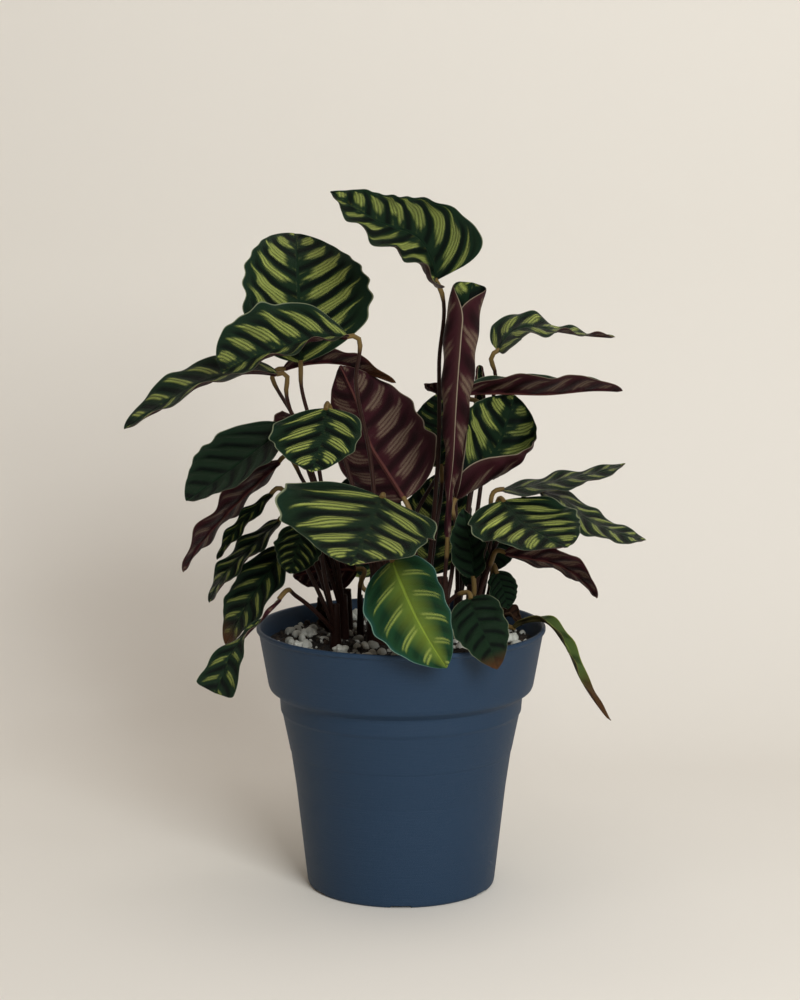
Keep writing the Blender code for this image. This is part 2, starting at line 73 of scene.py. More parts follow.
print("nodes in the frame:", len(frame["nodes"]))

# %% [markdown]
# ## Adding nodes and colours
#
# Materials and Geometry Nodes trees are both node trees, so one small function serves both. It adds
# a node, sets its options, feeds its inputs in order or by name, and hands back the output asked for.
# Colours are written as the sRGB hex values that a picture editor shows, and turned linear here.
# The other functions mix two colours, start a material or a geometry tree, and feed a shader.

# %% Functions for nodes, colours and materials
MATH = "ShaderNodeMath"
VECTOR = "ShaderNodeVectorMath"
RANGE = "ShaderNodeMapRange"
NOISE = "ShaderNodeTexNoise"
OPERATIONS = ("MULTIPLY", "ADD", "SUBTRACT", "MULTIPLY_ADD", "ABSOLUTE", "FRACT", "SCALE")
TIMES, PLUS, MINUS, TIMES_PLUS, SIZE_OF, FRACTION, SCALE = ({"operation": name} for name in OPERATIONS)
SMOOTH = {"interpolation_type": "SMOOTHSTEP"}


def node(tree, kind, *feeds, out=0, named=None, **settings):
    """Adds a node with its settings and what feeds it, and returns one of its outputs."""
    made = tree.nodes.new(kind)
    for name, value in settings.items():
        setattr(made, name, value)
    feed(tree, zip([socket for socket in made.inputs if socket.enabled], feeds))
    feed(tree, ((made.inputs[name], value) for name, value in (named or {}).items()))
    given = [socket for socket in made.outputs if socket.enabled]
    return given[out] if given else made


def feed(tree, pairs):
    """Links each socket to what feeds it or sets its value. None leaves it alone."""
    for socket, value in pairs:
        if isinstance(value, bpy.types.NodeSocket):
            tree.links.new(value, socket)
        elif value is not None:
            socket.default_value = value


def linear(colour):
    """An sRGB hex colour as linear red, green, blue and alpha."""
    parts = [int(colour[n : n + 2], 16) / 255 for n in (1, 3, 5)]
    return (*(p / 12.92 if p <= 0.04045 else ((p + 0.055) / 1.055) ** 2.4 for p in parts), 1)


def mix(tree, share, first, second):
    colours = [linear(c) if isinstance(c, str) else c for c in (first, second)]
    return node(tree, "ShaderNodeMix", share, *colours, data_type="RGBA")


def new_material(name):
    """A new material and its tree, in which the Principled shader feeds the output."""
    made = bpy.data.materials.new(name)
    made.use_nodes = True
    return made, made.node_tree


def surface(tree, colour, roughness, relief=None, levels=None):
    """Feeds a material's Principled shader. Relief is a bump's strength, depth in metres and height."""
    fed = {"Base Color": colour, "Roughness": roughness, **(levels or {})}
    if relief:
        named = dict(zip(("Strength", "Distance", "Height"), relief))
        fed["Normal"] = node(tree, "ShaderNodeBump", named=named)
    shader = tree.nodes["Principled BSDF"]
    feed(tree, ((shader.inputs[name], value) for name, value in fed.items()))


def geometry_tree(name, numbers, counts=()):
    """A Geometry Nodes tree with inputs for numbers and counts, and what its group input gives."""
    tree = bpy.data.node_groups.new(name, "GeometryNodeTree")
    kinds = {"Geometry": "Geometry", **dict.fromkeys(numbers, "Float"), **dict.fromkeys(counts, "Int")}
    for label, kind in kinds.items():
        tree.interface.new_socket(label, in_out="INPUT", socket_type="NodeSocket" + kind)
    tree.interface.new_socket("Geometry", in_out="OUTPUT", socket_type="NodeSocketGeometry")
    return tree, tree.nodes.new("NodeGroupInput").outputs


# %% [markdown]
# ## How a leaf is described
#
# Each leaf has a midrib through a few points, a way that its upper side faces, and the bends of its
# two halves. The outline is a rule: a round base that widens to its broadest place, then a short
# point. These are the same driving values as the solids have, in millimetres and degrees.

# %% The leaf's description
class Leaf(NamedTuple):
    """One leaf: rib is its midrib from stem to tip, faces is the way the upper side looks.

    Each half rises by fold and bends on towards its margin by curl, given at the base and at the
    tip. A curl of four is for two halves that are rolled unlike. Unroll is how far a roll opens
    where the blade narrows. Stripes is how wide the feathering is, bands how many bands of it lie
    along one half, and dry the share of the length where a browned tip begins.
    """

    name: str
    rib: tuple
    faces: tuple
    width: float
    fold: tuple = (2, 2)
    curl: tuple = (12, 12)
    faces_tip: tuple = None
    wave: float = 1.5
    waves: float = 3
    phase: float = 0
    lean: float = 0
    widest: float = 0.42
    base: float = 0.6
    tip: float = 0.75
    unroll: float = 0
    stripes: float = 1
    bands: float = 6
    dry: float = 1.3
    look: str = "leaf"


LEAVES = (
    Leaf("leaf_top", ((20, -8, 358), (18, -12, 369), (11, -15, 382), (-12, -16, 392), (-40, -12, 409)),
         (0.55, -0.82, 0.05), 80, fold=(36, 10), curl=(55, 10, 15, 15), faces_tip=(0.15, -0.55, 0.8),
         wave=3, waves=4.5, phase=2, lean=-0.42, widest=0.18, base=0.3, tip=0.95, bands=7),
    Leaf("leaf_round", ((-59, 22, 308), (-59, 13, 334), (-60, 15, 360), (-62, 36, 383)),
         (0.35, -0.9, 0.15), 80, fold=(4, 4), lean=0.08, widest=0.47, base=0.75, tip=0.7, bands=7),
    Leaf("leaf_upper_left", ((-30, -20, 327), (-50, -30, 327), (-66, -36, 323), (-84, -40, 317),
                             (-101, -42, 309)),
         (0.1, -0.38, 0.9), 54, fold=(24, 14), wave=3, phase=2.5, lean=0.16, widest=0.65, tip=0.33),
    Leaf("leaf_long_left", ((-71, 5, 303), (-86, 2, 305), (-102, 0, 303), (-123, -4, 296),
                            (-139, -6, 286), (-160, -10, 273)),
         (-0.2, -0.2, 0.95), 46, fold=(7, 7), faces_tip=(-0.6, -0.35, 0.8), wave=2, widest=0.5,
         stripes=0.65),
    Leaf("leaf_dark_left", ((-66, -20, 276), (-79, -27, 266), (-94, -34, 255), (-122, -42, 236)),
         (-0.45, -0.45, 0.8), 58, fold=(4, 4), wave=1, lean=0.08, widest=0.5, stripes=0),
    Leaf("leaf_small_centre", ((-43, -20, 286), (-45, -45, 271), (-50, -66, 256)),
         (-0.05, -0.55, 0.8), 52, fold=(-6, -6), lean=0.16, wave=1, bands=4),
    Leaf("leaf_big_front", ((-11, -35, 237), (-16, -65, 231), (-21, -95, 223), (-27, -125, 214)),
         (0.3, -0.3, 0.9), 90, fold=(-3, -3), faces_tip=(0.05, -0.4, 0.9), lean=0.18, wave=2.5,
         waves=2.5, bands=5),
    Leaf("leaf_drooping_left", ((-71, 15, 251), (-89, 10, 235), (-106, 5, 218), (-118, 2, 204),
                                (-128, 0, 187)),
         (-0.7, 0.3, 0.6), 48, fold=(-2, -2), wave=2.5, waves=3.5, stripes=0.5),
    Leaf("leaf_tucked_left", ((-75, 0, 234), (-87, -6, 224), (-99, -10, 210), (-107, -14, 197)),
         (-0.7, -0.2, 0.7), 30, fold=(-6, -6), stripes=0.35),
    Leaf("leaf_low_left", ((-70, -12, 220), (-88, -18, 204), (-101, -23, 191), (-111, -26, 174)),
         (-0.65, -0.2, 0.75), 42, wave=2, fold=(-3, -3), stripes=0.45),
    Leaf("leaf_low_striped", ((-66, -21, 206), (-78, -29, 190), (-90, -35, 172), (-101, -35, 151)),
         (-0.65, -0.5, 0.6), 44, fold=(0, 0), stripes=0.4, dry=0.9),
    Leaf("leaf_over_rim", ((-68, -57, 183), (-79, -68, 173), (-87, -78, 166), (-95, -86, 156),
                           (-98, -92, 148), (-103, -96, 137)),
         (-0.5, 0.3, 0.8), 27, faces_tip=(-0.5, -0.8, 0.3), fold=(0, 0), widest=0.97, base=3.5, tip=0.2,
         stripes=0.35),
    Leaf("leaf_purple_centre", ((2, 0, 230), (-10, 12, 247), (-17, 20, 257), (-27, 28, 286),
                                (-36, 24, 306)),
         (0.1, 0.95, -0.2), 70, fold=(28, 28), wave=2, lean=-0.2, widest=0.38, tip=0.9),
    Leaf("leaf_brown_tip", ((-70, 35, 303), (-51, 38, 307), (-33, 38, 306), (-17, 36, 300),
                            (-3, 34, 295)),
         (0.05, 0.3, 0.95), 34, fold=(10, 10), dry=0.8),
    Leaf("leaf_right_top", ((57, 30, 314), (61, 32, 321), (65, 35, 325), (73, 36, 328), (86, 37, 327),
                            (105, 38, 324), (127, 38, 322)),
         (-0.8, -0.4, 0.5), 38, fold=(0, 0), faces_tip=(0, 0.1, 1), wave=2.5, waves=3.5, widest=0.2,
         base=0.25),
    Leaf("leaf_right_purple", ((36, 8, 292), (58, 12, 292), (84, 14, 291), (116, 16, 293),
                               (130, 18, 292)),
         (0, 0.1, 1), 46, fold=(20, 20), stripes=0.8),
    Leaf("leaf_funnel", ((32, 2, 230), (39, 10, 240), (49, 18, 249), (56, 22, 256), (62, 24, 271),
                         (67, 18, 289)),
         (0.1, -0.95, 0.25), 80, fold=(10, 10), curl=(150, 10, 230, 30), wave=0),
    Leaf("leaf_right_pointed", ((59, 5, 235), (77, 2, 238), (96, 2, 242), (116, 3, 246), (131, 4, 251)),
         (-0.2, -0.1, 0.95), 40, fold=(-8, -8), stripes=0.4),
    Leaf("leaf_right_wide", ((82, 10, 233), (95, 6, 229), (108, 2, 219), (123, -1, 212),
                             (143, -4, 207)),
         (0.4, -0.2, 0.9), 48, fold=(-8, -8), stripes=0.7),
    Leaf("leaf_right_front", ((59, -10, 231), (65, -28, 226), (69, -40, 223), (76, -56, 221),
                              (87, -72, 217), (92, -80, 216)),
         (-0.05, -0.35, 0.95), 62, fold=(-4, -4), base=0.5),
    Leaf("leaf_right_brown", ((60, -8, 200), (74, -10, 198), (90, -13, 195), (103, -16, 188),
                              (114, -18, 175)),
         (0.5, 0.4, 0.75), 42, fold=(0, 0)),
    Leaf("leaf_front_bright", ((-5, -62, 205), (2, -84, 191), (10, -96, 176), (25, -100, 152)),
         (-0.2, -0.9, 0.35), 46, lean=0.1, wave=1, bands=5, stripes=0.45, look="bright"),
    Leaf("leaf_front_dark", ((39, -58, 183), (43, -78, 173), (49, -88, 162), (53, -94, 150)),
         (-0.1, -0.95, 0.25), 31, wave=1, stripes=0, dry=0.93),
    Leaf("leaf_strap_right", ((66, 9, 152), (75, 1, 158), (85, -6, 159), (96, -12, 147),
                              (106, -18, 126), (122, -26, 104)),
         (0.7, -0.35, 0.65), 12, wave=1, waves=5, fold=(20, 20), stripes=0, dry=0.75, look="strap"),
    Leaf("leaf_back_dark", ((24, 36, 244), (22, 48, 265), (22, 54, 286)),
         (-0.3, -0.9, 0.3), 34, stripes=0.3),
    Leaf("leaf_back_curl", ((41, 32, 285), (23, 34, 289), (14, 30, 295)),
         (0, 0.3, 0.9), 24),
    Leaf("leaf_left_shadow", ((-55, -44, 222), (-59, -48, 209), (-63, -49, 195)),
         (0.3, -0.9, 0.2), 28, stripes=0.3),
    Leaf("leaf_left_maroon", ((-26, 13, 186), (-45, 14, 186), (-64, 13, 182)),
         (0, 1, 0.25), 30, stripes=0.4),
    Leaf("leaf_right_shadow", ((55, 28, 212), (57, 30, 198), (56, 30, 182)),
         (0, -0.8, 0.5), 26, stripes=0),
    Leaf("leaf_right_low", ((56, 8, 186), (60, 6, 176), (63, 4, 164)),
         (0.2, -0.8, 0.5), 18, stripes=0),
    Leaf("leaf_right_dark", ((42, -15, 186), (40, -17, 206), (36, -16, 227)),
         (-0.3, -0.9, 0.2), 24, fold=(25, 25), stripes=0),
    Leaf("leaf_right_folded", ((46, 12, 205), (43, 11, 192), (39, 10, 176)),
         (0, -1, 0.1), 17, stripes=0),
    Leaf("leaf_rolled", ((27, -16, 209), (28, -16, 235), (30, -16, 252), (32, -14, 284), (34, -12, 313),
                         (38, -9, 347), (41, -8, 357)),
         (0, -1, 0), 62, fold=(0, 0), curl=(175, 175, 215, 215), wave=0, widest=0.84, base=1.66,
         tip=0.5, unroll=1),
    Leaf("leaf_back_left", ((-34, 62, 262), (-52, 84, 262), (-74, 104, 244)),
         (-0.2, 0.6, 0.8), 56),
    Leaf("leaf_back_right", ((30, 60, 246), (44, 84, 244), (58, 108, 226)),
         (0.3, 0.6, 0.8), 50),
    Leaf("leaf_young_tip", ((46, 44, 264), (47, 46, 284), (47, 47, 304)),
         (0, -1, 0), 14, fold=(0, 0), curl=(140, 140), wave=0, base=1, tip=0.3),
    Leaf("leaf_back_low_left", ((-24, 61, 172), (-23, 66, 205), (-20, 73, 238)),
         (-0.1, -0.95, 0.3), 56),
    Leaf("leaf_back_low_right", ((18, 62, 174), (22, 68, 205), (28, 76, 236)),
         (0.1, -0.95, 0.3), 46),
    Leaf("leaf_withered", ((-41, 5, 150), (-44, 6, 160), (-48, 5, 172)),
         (-0.5, -0.8, 0.2), 13, fold=(40, 40), curl=(40, 40), stripes=0, look="withered"),
    Leaf("leaf_withered_curl", ((59, 30, 150), (65, 23, 157), (72, 19, 151)),
         (0, -0.5, 0.8), 14, fold=(20, 20), curl=(40, 60), stripes=0, look="withered"),
)
print("leaves:", len(LEAVES))

# %% [markdown]
# ## A smooth line through a few points
#
# A midrib or a stem grows in one sweep. Cubic pieces that share their slope at each point give that
# sweep, and the points are then spread evenly along it, so that the mesh has even rows.

# %% Lines and directions
CHORD_EASE = 0.55


def unit(vectors):
    return vectors / np.linalg.norm(vectors, axis=-1, keepdims=True)


def smooth_path(points, count=160):
    """The points joined by one smooth curve, as count points at even distances along it."""
    knots = np.array(points, float)
    gaps = np.linalg.norm(np.diff(knots, axis=0), axis=1)
    at = np.concatenate([[0], np.cumsum(gaps)])
    slopes = np.gradient(knots, at, axis=0, edge_order=2)
    u = np.linspace(0, at[-1], count)
    span = np.clip(np.searchsorted(at, u, side="right") - 1, 0, len(gaps) - 1)
    h = gaps[span][:, None]
    q = (u - at[span])[:, None] / h
    curve = (
        (1 + 2 * q) * (1 - q) ** 2 * knots[span]
        + q * (1 - q) ** 2 * h * slopes[span]
        + q**2 * (3 - 2 * q) * knots[span + 1]
        - q**2 * (1 - q) * h * slopes[span + 1]
    )
    run = np.concatenate([[0], np.cumsum(np.linalg.norm(np.diff(curve, axis=0), axis=1))])
    even = np.linspace(0, run[-1], count)
    return np.stack([np.interp(even, run, curve[:, k]) for k in range(3)], 1)


def directions(line):
    """The way a midrib runs at each of its points, eased towards the way from its base to its tip."""
    along = unit(np.gradient(line, axis=0))
    return unit(along * (1 - CHORD_EASE) + unit(line[-1] - line[0]) * CHORD_EASE)


# %% [markdown]
# ## The blade as a Geometry Nodes tree
#
# A leaf could be sculpted, but forty of them follow one rule, so a tree makes them. A flat grid comes
# in, and each of its points already carries where its place on the midrib is, which way is sideways
# and which is up, and how wide and how bent the blade is there. The tree rolls each half into an arc,
# adds the waves of the margin, the soft swell between the side veins and the groove of the midrib.
# A copy a little lower, turned over, is the underside, with the midrib standing out of it as a ridge.
# The two meet at the margin, as a real blade thins out there.

# %% Sizes shared by all blades
BLADE_THICKNESS = 0.5
RIB_RIDGE = 1.1
RIB_RIDGE_WIDTH = 1.5
VEIN_SWELL = 0.8
RIB_GROOVE = 0.5
VEIN_SLANT = 0.45
VEIN_ARCH = 0.35
SCALLOP = 0.03
SIDE_SHIFT = 0.35
BASE_WIDTH = 2.6
TIP_WIDTH = 1.0
BLADE_INPUTS = (
    "Wave height", "Waves", "Phase", "Bands", "Vein swell", "Rib groove", "Thickness", "Ridge",
    "Ridge width",
)

# %% The tree
def read(tree, name, kind="FLOAT"):
    return node(tree, "GeometryNodeInputNamedAttribute", name, data_type=kind)


def side_vein(add, s, q, breadth):
    """Where the side vein through a point leaves the midrib, as a share of the blade's length."""
    slant = add(MATH, add(MATH, q, q, **TIMES), VEIN_ARCH, VEIN_SLANT, **TIMES_PLUS)
    slant = add(MATH, slant, breadth, **TIMES)
    return add(MATH, s, add(MATH, slant, q, **TIMES), **MINUS)


def blade_tree(upper, under):
    tree, given = geometry_tree("calathea blade", BLADE_INPUTS)
    add = partial(node, tree)
    s, t, half, fold, curl = (read(tree, name) for name in ("along", "across", "half", "fold", "curl"))
    centre, side, up = (read(tree, name, "FLOAT_VECTOR") for name in ("centre", "side", "up"))

    q = add(MATH, t, **SIZE_OF)
    sign = add(MATH, t, operation="SIGN")
    q2 = add(MATH, q, q, **TIMES)
    turn = add(MATH, curl, q, fold, **TIMES_PLUS)
    sine, cosine = (add(MATH, turn, operation=name) for name in ("SINE", "COSINE"))
    radius = add(MATH, half, curl, operation="DIVIDE")
    out_share = add(MATH, sine, add(MATH, fold, operation="SINE"), **MINUS)
    rise_share = add(MATH, add(MATH, fold, operation="COSINE"), cosine, **MINUS)
    outwards = add(MATH, radius, out_share, **TIMES)
    rise = add(MATH, radius, rise_share, **TIMES)

    ends = add(MATH, add(MATH, s, math.pi, **TIMES), operation="SINE")
    ends = add(MATH, add(MATH, ends, 0.0, operation="MAXIMUM"), 0.6, operation="POWER")
    beat = add(MATH, s, given["Waves"], **TIMES)
    beat = add(MATH, beat, 2 * math.pi, given["Phase"], **TIMES_PLUS)
    swing = add(MATH, add(MATH, sign, 1.3, beat, **TIMES_PLUS), operation="SINE")
    ripple = add(MATH, add(MATH, q2, ends, **TIMES), swing, **TIMES)
    ripple = add(MATH, ripple, given["Wave height"], **TIMES)

    vein = side_vein(add, s, q, read(tree, "breadth"))
    shifted = add(MATH, sign, SIDE_SHIFT, **TIMES)
    count = add(MATH, vein, given["Bands"], shifted, **TIMES_PLUS)
    swell = add(MATH, add(MATH, count, 2 * math.pi, **TIMES), operation="COSINE")
    fade = add(MATH, add(MATH, q, q2, **MINUS), ends, **TIMES)
    # The fade is at most a quarter, so four makes it one
    height = add(MATH, given["Vein swell"], -4.0, **TIMES)
    swell = add(MATH, add(MATH, swell, fade, **TIMES), height, **TIMES)
    near = add(RANGE, add(MATH, q, half, **TIMES), 0.0, given["Ridge width"], 1.0, 0.0, **SMOOTH)
    groove = add(MATH, given["Rib groove"], -1.0, **TIMES)
    lift = add(MATH, near, groove, ripple, **TIMES_PLUS)
    lift = add(MATH, lift, swell, **PLUS)

    back = add(MATH, lift, sine, **TIMES)
    outwards = add(MATH, add(MATH, outwards, back, **MINUS), sign, **TIMES)
    rise = add(MATH, lift, cosine, rise, **TIMES_PLUS)
    place = add(VECTOR, side, None, centre, **TIMES_PLUS)
    tree.links.new(outwards, place.node.inputs[1])
    place = add(VECTOR, up, None, place, **TIMES_PLUS)
    tree.links.new(rise, place.node.inputs[1])
    bent = add("GeometryNodeSetPosition", given["Geometry"], named={"Position": place})

    margin = add(RANGE, q, 1.0, 0.9, 0.0, 1.0)
    stem_end = add(RANGE, s, 0.0, 0.02, 0.0, 1.0)
    point_end = add(RANGE, s, 1.0, 0.97, 0.0, 1.0)
    closed = add(MATH, add(MATH, margin, stem_end, **TIMES), point_end, **TIMES)
    taper = add(MATH, add(MATH, s, -0.75, 1.0, **TIMES_PLUS), near, **TIMES)
    depth = add(MATH, taper, given["Ridge"], given["Thickness"], **TIMES_PLUS)
    depth = add(MATH, add(MATH, depth, closed, **TIMES), -1.0, **TIMES)
    down = add(VECTOR, add("GeometryNodeInputNormal"), depth, **SCALE)
    lower = add("GeometryNodeSetPosition", bent, named={"Offset": down})
    lower = add("GeometryNodeFlipFaces", lower)
    lower = add("GeometryNodeStoreNamedAttribute", lower, None, "below", 1.0, domain="FACE")
    both = tree.nodes.new("GeometryNodeJoinGeometry")
    for part in (lower, bent):
        tree.links.new(part, both.inputs[0])
    whole = add("GeometryNodeMergeByDistance", both.outputs[0], named={"Distance": 0.00002})
    whole = add("GeometryNodeSetShadeSmooth", whole)
    whole = add("GeometryNodeRealizeInstances", whole)
    whole = add("GeometryNodeSetMaterial", whole, named={"Material": upper})
    below = add(MATH, read(tree, "below"), 0.5, operation="GREATER_THAN")
    whole = add("GeometryNodeSetMaterial", whole, below, under)
    add("NodeGroupOutput", whole)
    return tree

# %% [markdown]
# ## The leaf's two sides
#
# The upper side of this calathea is a dark, faintly blue green with feathers of yellow-green along its
# side veins, and the underside is maroon with dull pink bands in the same places. Both patterns are
# worked out on the blade itself: one coordinate runs along the midrib, one from the midrib to the
# margin, and together they give the number of the side vein that a point lies by. Whole numbers are
# dark ovals, the halves between them are feathers, and each feather is split into fine strands that
# start and end unevenly, as the real ones do. The surface is cellular and waxy, so it is fairly smooth,
# with fine ridges along the strands.

# %% How the feathering is laid out
STRANDS = 6.0
FEATHER_HALF_WIDTH = 0.26
STRAND_HALF_WIDTH = 0.24
STRAND_BLUR = 0.09
STRAND_END = 0.12
VEIN_WANDER = 0.07
MARGIN_STARTS = 0.87


def from_middle(add, count):
    """How far a count is from halfway between two whole numbers."""
    return add(MATH, add(MATH, add(MATH, count, **FRACTION), 0.5, **MINUS), **SIZE_OF)


def leaf_pattern(tree):
    """From a blade's attributes: q, feather, oval, margin, edge, midrib, ridges and dry, as shares."""
    add = partial(node, tree)
    names = ("along", "across", "breadth", "bands", "stripes", "seed", "dry")
    given = {name: add("ShaderNodeAttribute", out=2, attribute_name=name) for name in names}
    s, t = given["along"], given["across"]
    q = add(MATH, t, **SIZE_OF)
    sign = add(MATH, t, operation="SIGN")
    vein = side_vein(add, s, q, given["breadth"])
    wander = add(NOISE, add("ShaderNodeTexCoord", out=3), None, 70.0, 2.0)
    vein = add(MATH, add(MATH, wander, 0.5, **MINUS), VEIN_WANDER, vein, **TIMES_PLUS)
    shifted = add(MATH, sign, SIDE_SHIFT, **TIMES)
    count = add(MATH, vein, given["bands"], shifted, **TIMES_PLUS)
    count = add(MATH, count, given["seed"], **PLUS)
    from_feather = from_middle(add, count)

    strand = add(MATH, count, STRANDS, **TIMES)
    from_strand = from_middle(add, strand)
    cell = add("ShaderNodeCombineXYZ", add(MATH, strand, operation="FLOOR"), sign)
    luck = add("ShaderNodeTexWhiteNoise", cell, noise_dimensions="2D", out=1)
    start, end, chance = add("ShaderNodeSeparateColor", luck).node.outputs

    begins = add(MATH, start, 0.16, 0.02, **TIMES_PLUS)
    ends = add(MATH, end, 0.26, 0.6, **TIMES_PLUS)
    rise = add(RANGE, q, begins, add(MATH, begins, STRAND_END, **PLUS), 0.0, 1.0)
    fall = add(RANGE, q, ends, add(MATH, ends, STRAND_END, **PLUS), 1.0, 0.0)
    reach = add(MATH, rise, fall, **TIMES)
    spread = add(RANGE, q, 0.0, 0.5, FEATHER_HALF_WIDTH * 0.7, FEATHER_HALF_WIDTH, **SMOOTH)
    spread = add(MATH, spread, given["stripes"], **TIMES)
    taper = add(RANGE, q, 0.5, 0.92, 1.0, 0.45)
    band = add("ShaderNodeCombineXYZ", add(MATH, count, operation="FLOOR"), sign)
    band = add("ShaderNodeTexWhiteNoise", band, noise_dimensions="2D")
    taper = add(MATH, taper, add(MATH, band, 0.45, 0.75, **TIMES_PLUS), **TIMES)
    spread = add(MATH, spread, taper, **TIMES)
    inside = add(RANGE, from_feather, spread, add(MATH, spread, 0.03, **PLUS), 1.0, 0.0)
    lit = add(MATH, reach, STRAND_HALF_WIDTH, **TIMES)
    dark = add(MATH, reach, STRAND_HALF_WIDTH, STRAND_BLUR, **TIMES_PLUS)
    thread = add(RANGE, from_strand, lit, dark, 1.0, 0.0)
    feather = add(MATH, add(MATH, inside, reach, **TIMES), thread, **TIMES)

    tooth = add(RANGE, q, 0.02, add(MATH, start, 0.14, 0.04, **TIMES_PLUS), 0.8, 0.0)
    tooth = add(MATH, tooth, add(MATH, chance, 0.7, operation="GREATER_THAN"), **TIMES)
    tooth = add(MATH, tooth, thread, **TIMES)
    feather = add(MATH, feather, tooth, operation="MAXIMUM")
    striped = add(MATH, given["stripes"], 0.05, operation="GREATER_THAN")
    feather = add(MATH, feather, striped, **TIMES)

    oval = add(RANGE, from_feather, FEATHER_HALF_WIDTH, 0.44, 0.0, 1.0, **SMOOTH)
    oval = add(MATH, oval, add(RANGE, q, 0.95, 0.7, 0.0, 1.0, **SMOOTH), **TIMES)
    margin = add(RANGE, q, MARGIN_STARTS, 1.0, 0.0, 1.0, **SMOOTH)
    edge = add(RANGE, q, 0.975, 0.99, 0.0, 1.0)
    # The midrib narrows from the stem to the tip
    full, none = (add(RANGE, s, 0.0, 1.0, *ends) for ends in ((0.03, 0.01), (0.045, 0.02)))
    midrib = add(RANGE, q, full, none, 1.0, 0.0)
    ridges = add(MATH, add(MATH, strand, 2 * math.pi, **TIMES), operation="COSINE")
    ragged = add(MATH, wander, 0.2, s, **TIMES_PLUS)
    dry = add(RANGE, ragged, given["dry"], add(MATH, given["dry"], 0.14, **PLUS), 0.0, 0.95)
    return q, feather, oval, margin, edge, midrib, ridges, dry


# %% [markdown]
# ## Upper side and underside
#
# A waxy leaf reflects a little less than plastic does, so the IOR is 1.42 and the level of its shine
# is low. The upper side has a soft, broad shine, the underside is duller.

# %% The leaf materials
DRIED = "#4a301d"


def leaf_material(name, colours, roughness, relief):
    """One side of a leaf in the colours of SIDES. The glow, a pale stretch beside the midrib, is painted
    light: it stands for light shining through a young leaf.
    """
    made, tree = new_material(name)
    add = partial(node, tree)
    q, feather, oval, margin, edge, midrib, ridges, dry = leaf_pattern(tree)
    place = add("ShaderNodeTexCoord", out=3)
    cloud = add(NOISE, place, None, 60.0, 3.0)
    grain = add(NOISE, place, None, 1400.0, 2.0)
    cells = add("ShaderNodeTexVoronoi", place, None, 850.0)
    lighter = add(RANGE, cloud, 0.35, 0.65, 0.0, 1.0)
    bright = mix(tree, lighter, colours["feather"], colours["feather_light"])
    bright = mix(tree, add(RANGE, cells, 0.35, 0.6, 0.0, 0.4), bright, colours["ground"])
    # Painted light: beside the midrib the colour is lifted towards the feather colour, as if light shone
    # through the leaf.
    glow = add(RANGE, q, 0.05, 0.6, colours.get("glow", 0.0), 0.0)
    layers = (
        (oval, colours["oval"]), (margin, colours["margin"]), (glow, colours["feather"]),
        (feather, bright), (midrib, colours["midrib"]), (edge, colours["edge"]), (dry, DRIED),
    )
    colour = colours["ground"]
    for share, over in layers:
        colour = mix(tree, share, colour, over)
    shade = add(RANGE, grain, 0.3, 0.7, 0.85, 1.12)
    shade = add(MATH, shade, add(RANGE, cloud, 0.3, 0.7, 0.85, 1.15), **TIMES)
    colour = add(VECTOR, colour, shade, **SCALE)
    rough = add(RANGE, cloud, 0.3, 0.7, roughness - 0.05, roughness + 0.08)
    height = add(MATH, ridges, 0.35, grain, **TIMES_PLUS)
    surface(tree, colour, rough, (0.5, relief, height), {"IOR": 1.42, "Specular IOR Level": 0.1})
    return made


LAYERS = ("oval", "ground", "feather", "feather_light", "margin", "edge", "midrib")
SIDES = {
    "leaf": (
        "#08100c #17291a #aebd48 #d3dc80 #162b1f #7f866a #16281a",
        "#1c090c #33141a #7a655c #8a7c62 #3b2422 #8f8270 #58332f"),
    "bright": (
        "#15301d #1c3d25 #8fa235 #bac36a #1d443c #6f8f80 #7d9136",
        "#1c1410 #33241a #7a705c #8a8462 #3b3422 #8f8270 #58432f"),
    "strap": (
        "#2c3a18 #46572a #5f7030 #76843c #7d8438 #a7a350 #8b9a48",
        "#2a2416 #3f3a20 #5f5a38 #6f6a44 #5d5830 #8f8a58 #6b6a3a"),
    "withered": (
        "#21150f #352318 #463122 #584230 #2c1d15 #6b543c #4d3a28",
        "#241813 #3a2a1f #463122 #584230 #33241a #6b543c #4d3a28"),
}
# The young leaf's lit-through look is painted light in its upper side's colour, not light passing through.
WORDS = {
    "leaf": "calathea leaf, waxy", "bright": "calathea leaf, young and lit through",
    "strap": "calathea leaf, thin and pale", "withered": "calathea leaf, dry and brown",
}
skins = {}
for look, sides in SIDES.items():
    above, below = (dict(zip(LAYERS, side.split())) for side in sides)
    # Only the young leaf's upper side gets the painted glow of light shining through it.
    above["glow"] = 0.4 if look == "bright" else 0.0
    dull = 0.25 if look == "withered" else 0.0
    skins[look] = (
        leaf_material(WORDS[look] + ", upper side", above, 0.36 + dull, 0.0005),
        leaf_material(WORDS[look] + ", underside", below, 0.5 + dull, 0.0003))
print("leaf materials:", 2 * len(skins))

# %% [markdown]
# ## Growing the blades
#
# Each blade starts as a flat grid that knows nothing but its two shares. The values of its leaf are
# worked out for every point and stored as attributes, the tree bends the grid, and the result is made
# a plain mesh.

# %% One grid for each leaf, bent by the tree
ROWS = 84
COLUMNS = 48
FULL_RELIEF_WIDTH = 40
LEAST_CURL = 1e-3


def link(name, data):
    made = bpy.data.objects.new(name, data)
    bpy.context.scene.collection.objects.link(made)
    return made


def finished(shape, name):
    """The mesh of a shape that was built in edit form."""
    mesh = bpy.data.meshes.new(name)
    shape.to_mesh(mesh)
    shape.free()
    return mesh


def outline(leaf, s):
    """The half width at share s of the blade's length, as a share of its largest."""
    low = np.clip(s / leaf.widest, 0, 1)
    high = np.clip((s - leaf.widest) / (1 - leaf.widest), 0, 1)
    return np.where(s < leaf.widest, (1 - (1 - low) ** 2.2) ** leaf.base, (1 - high**2) ** leaf.tip)


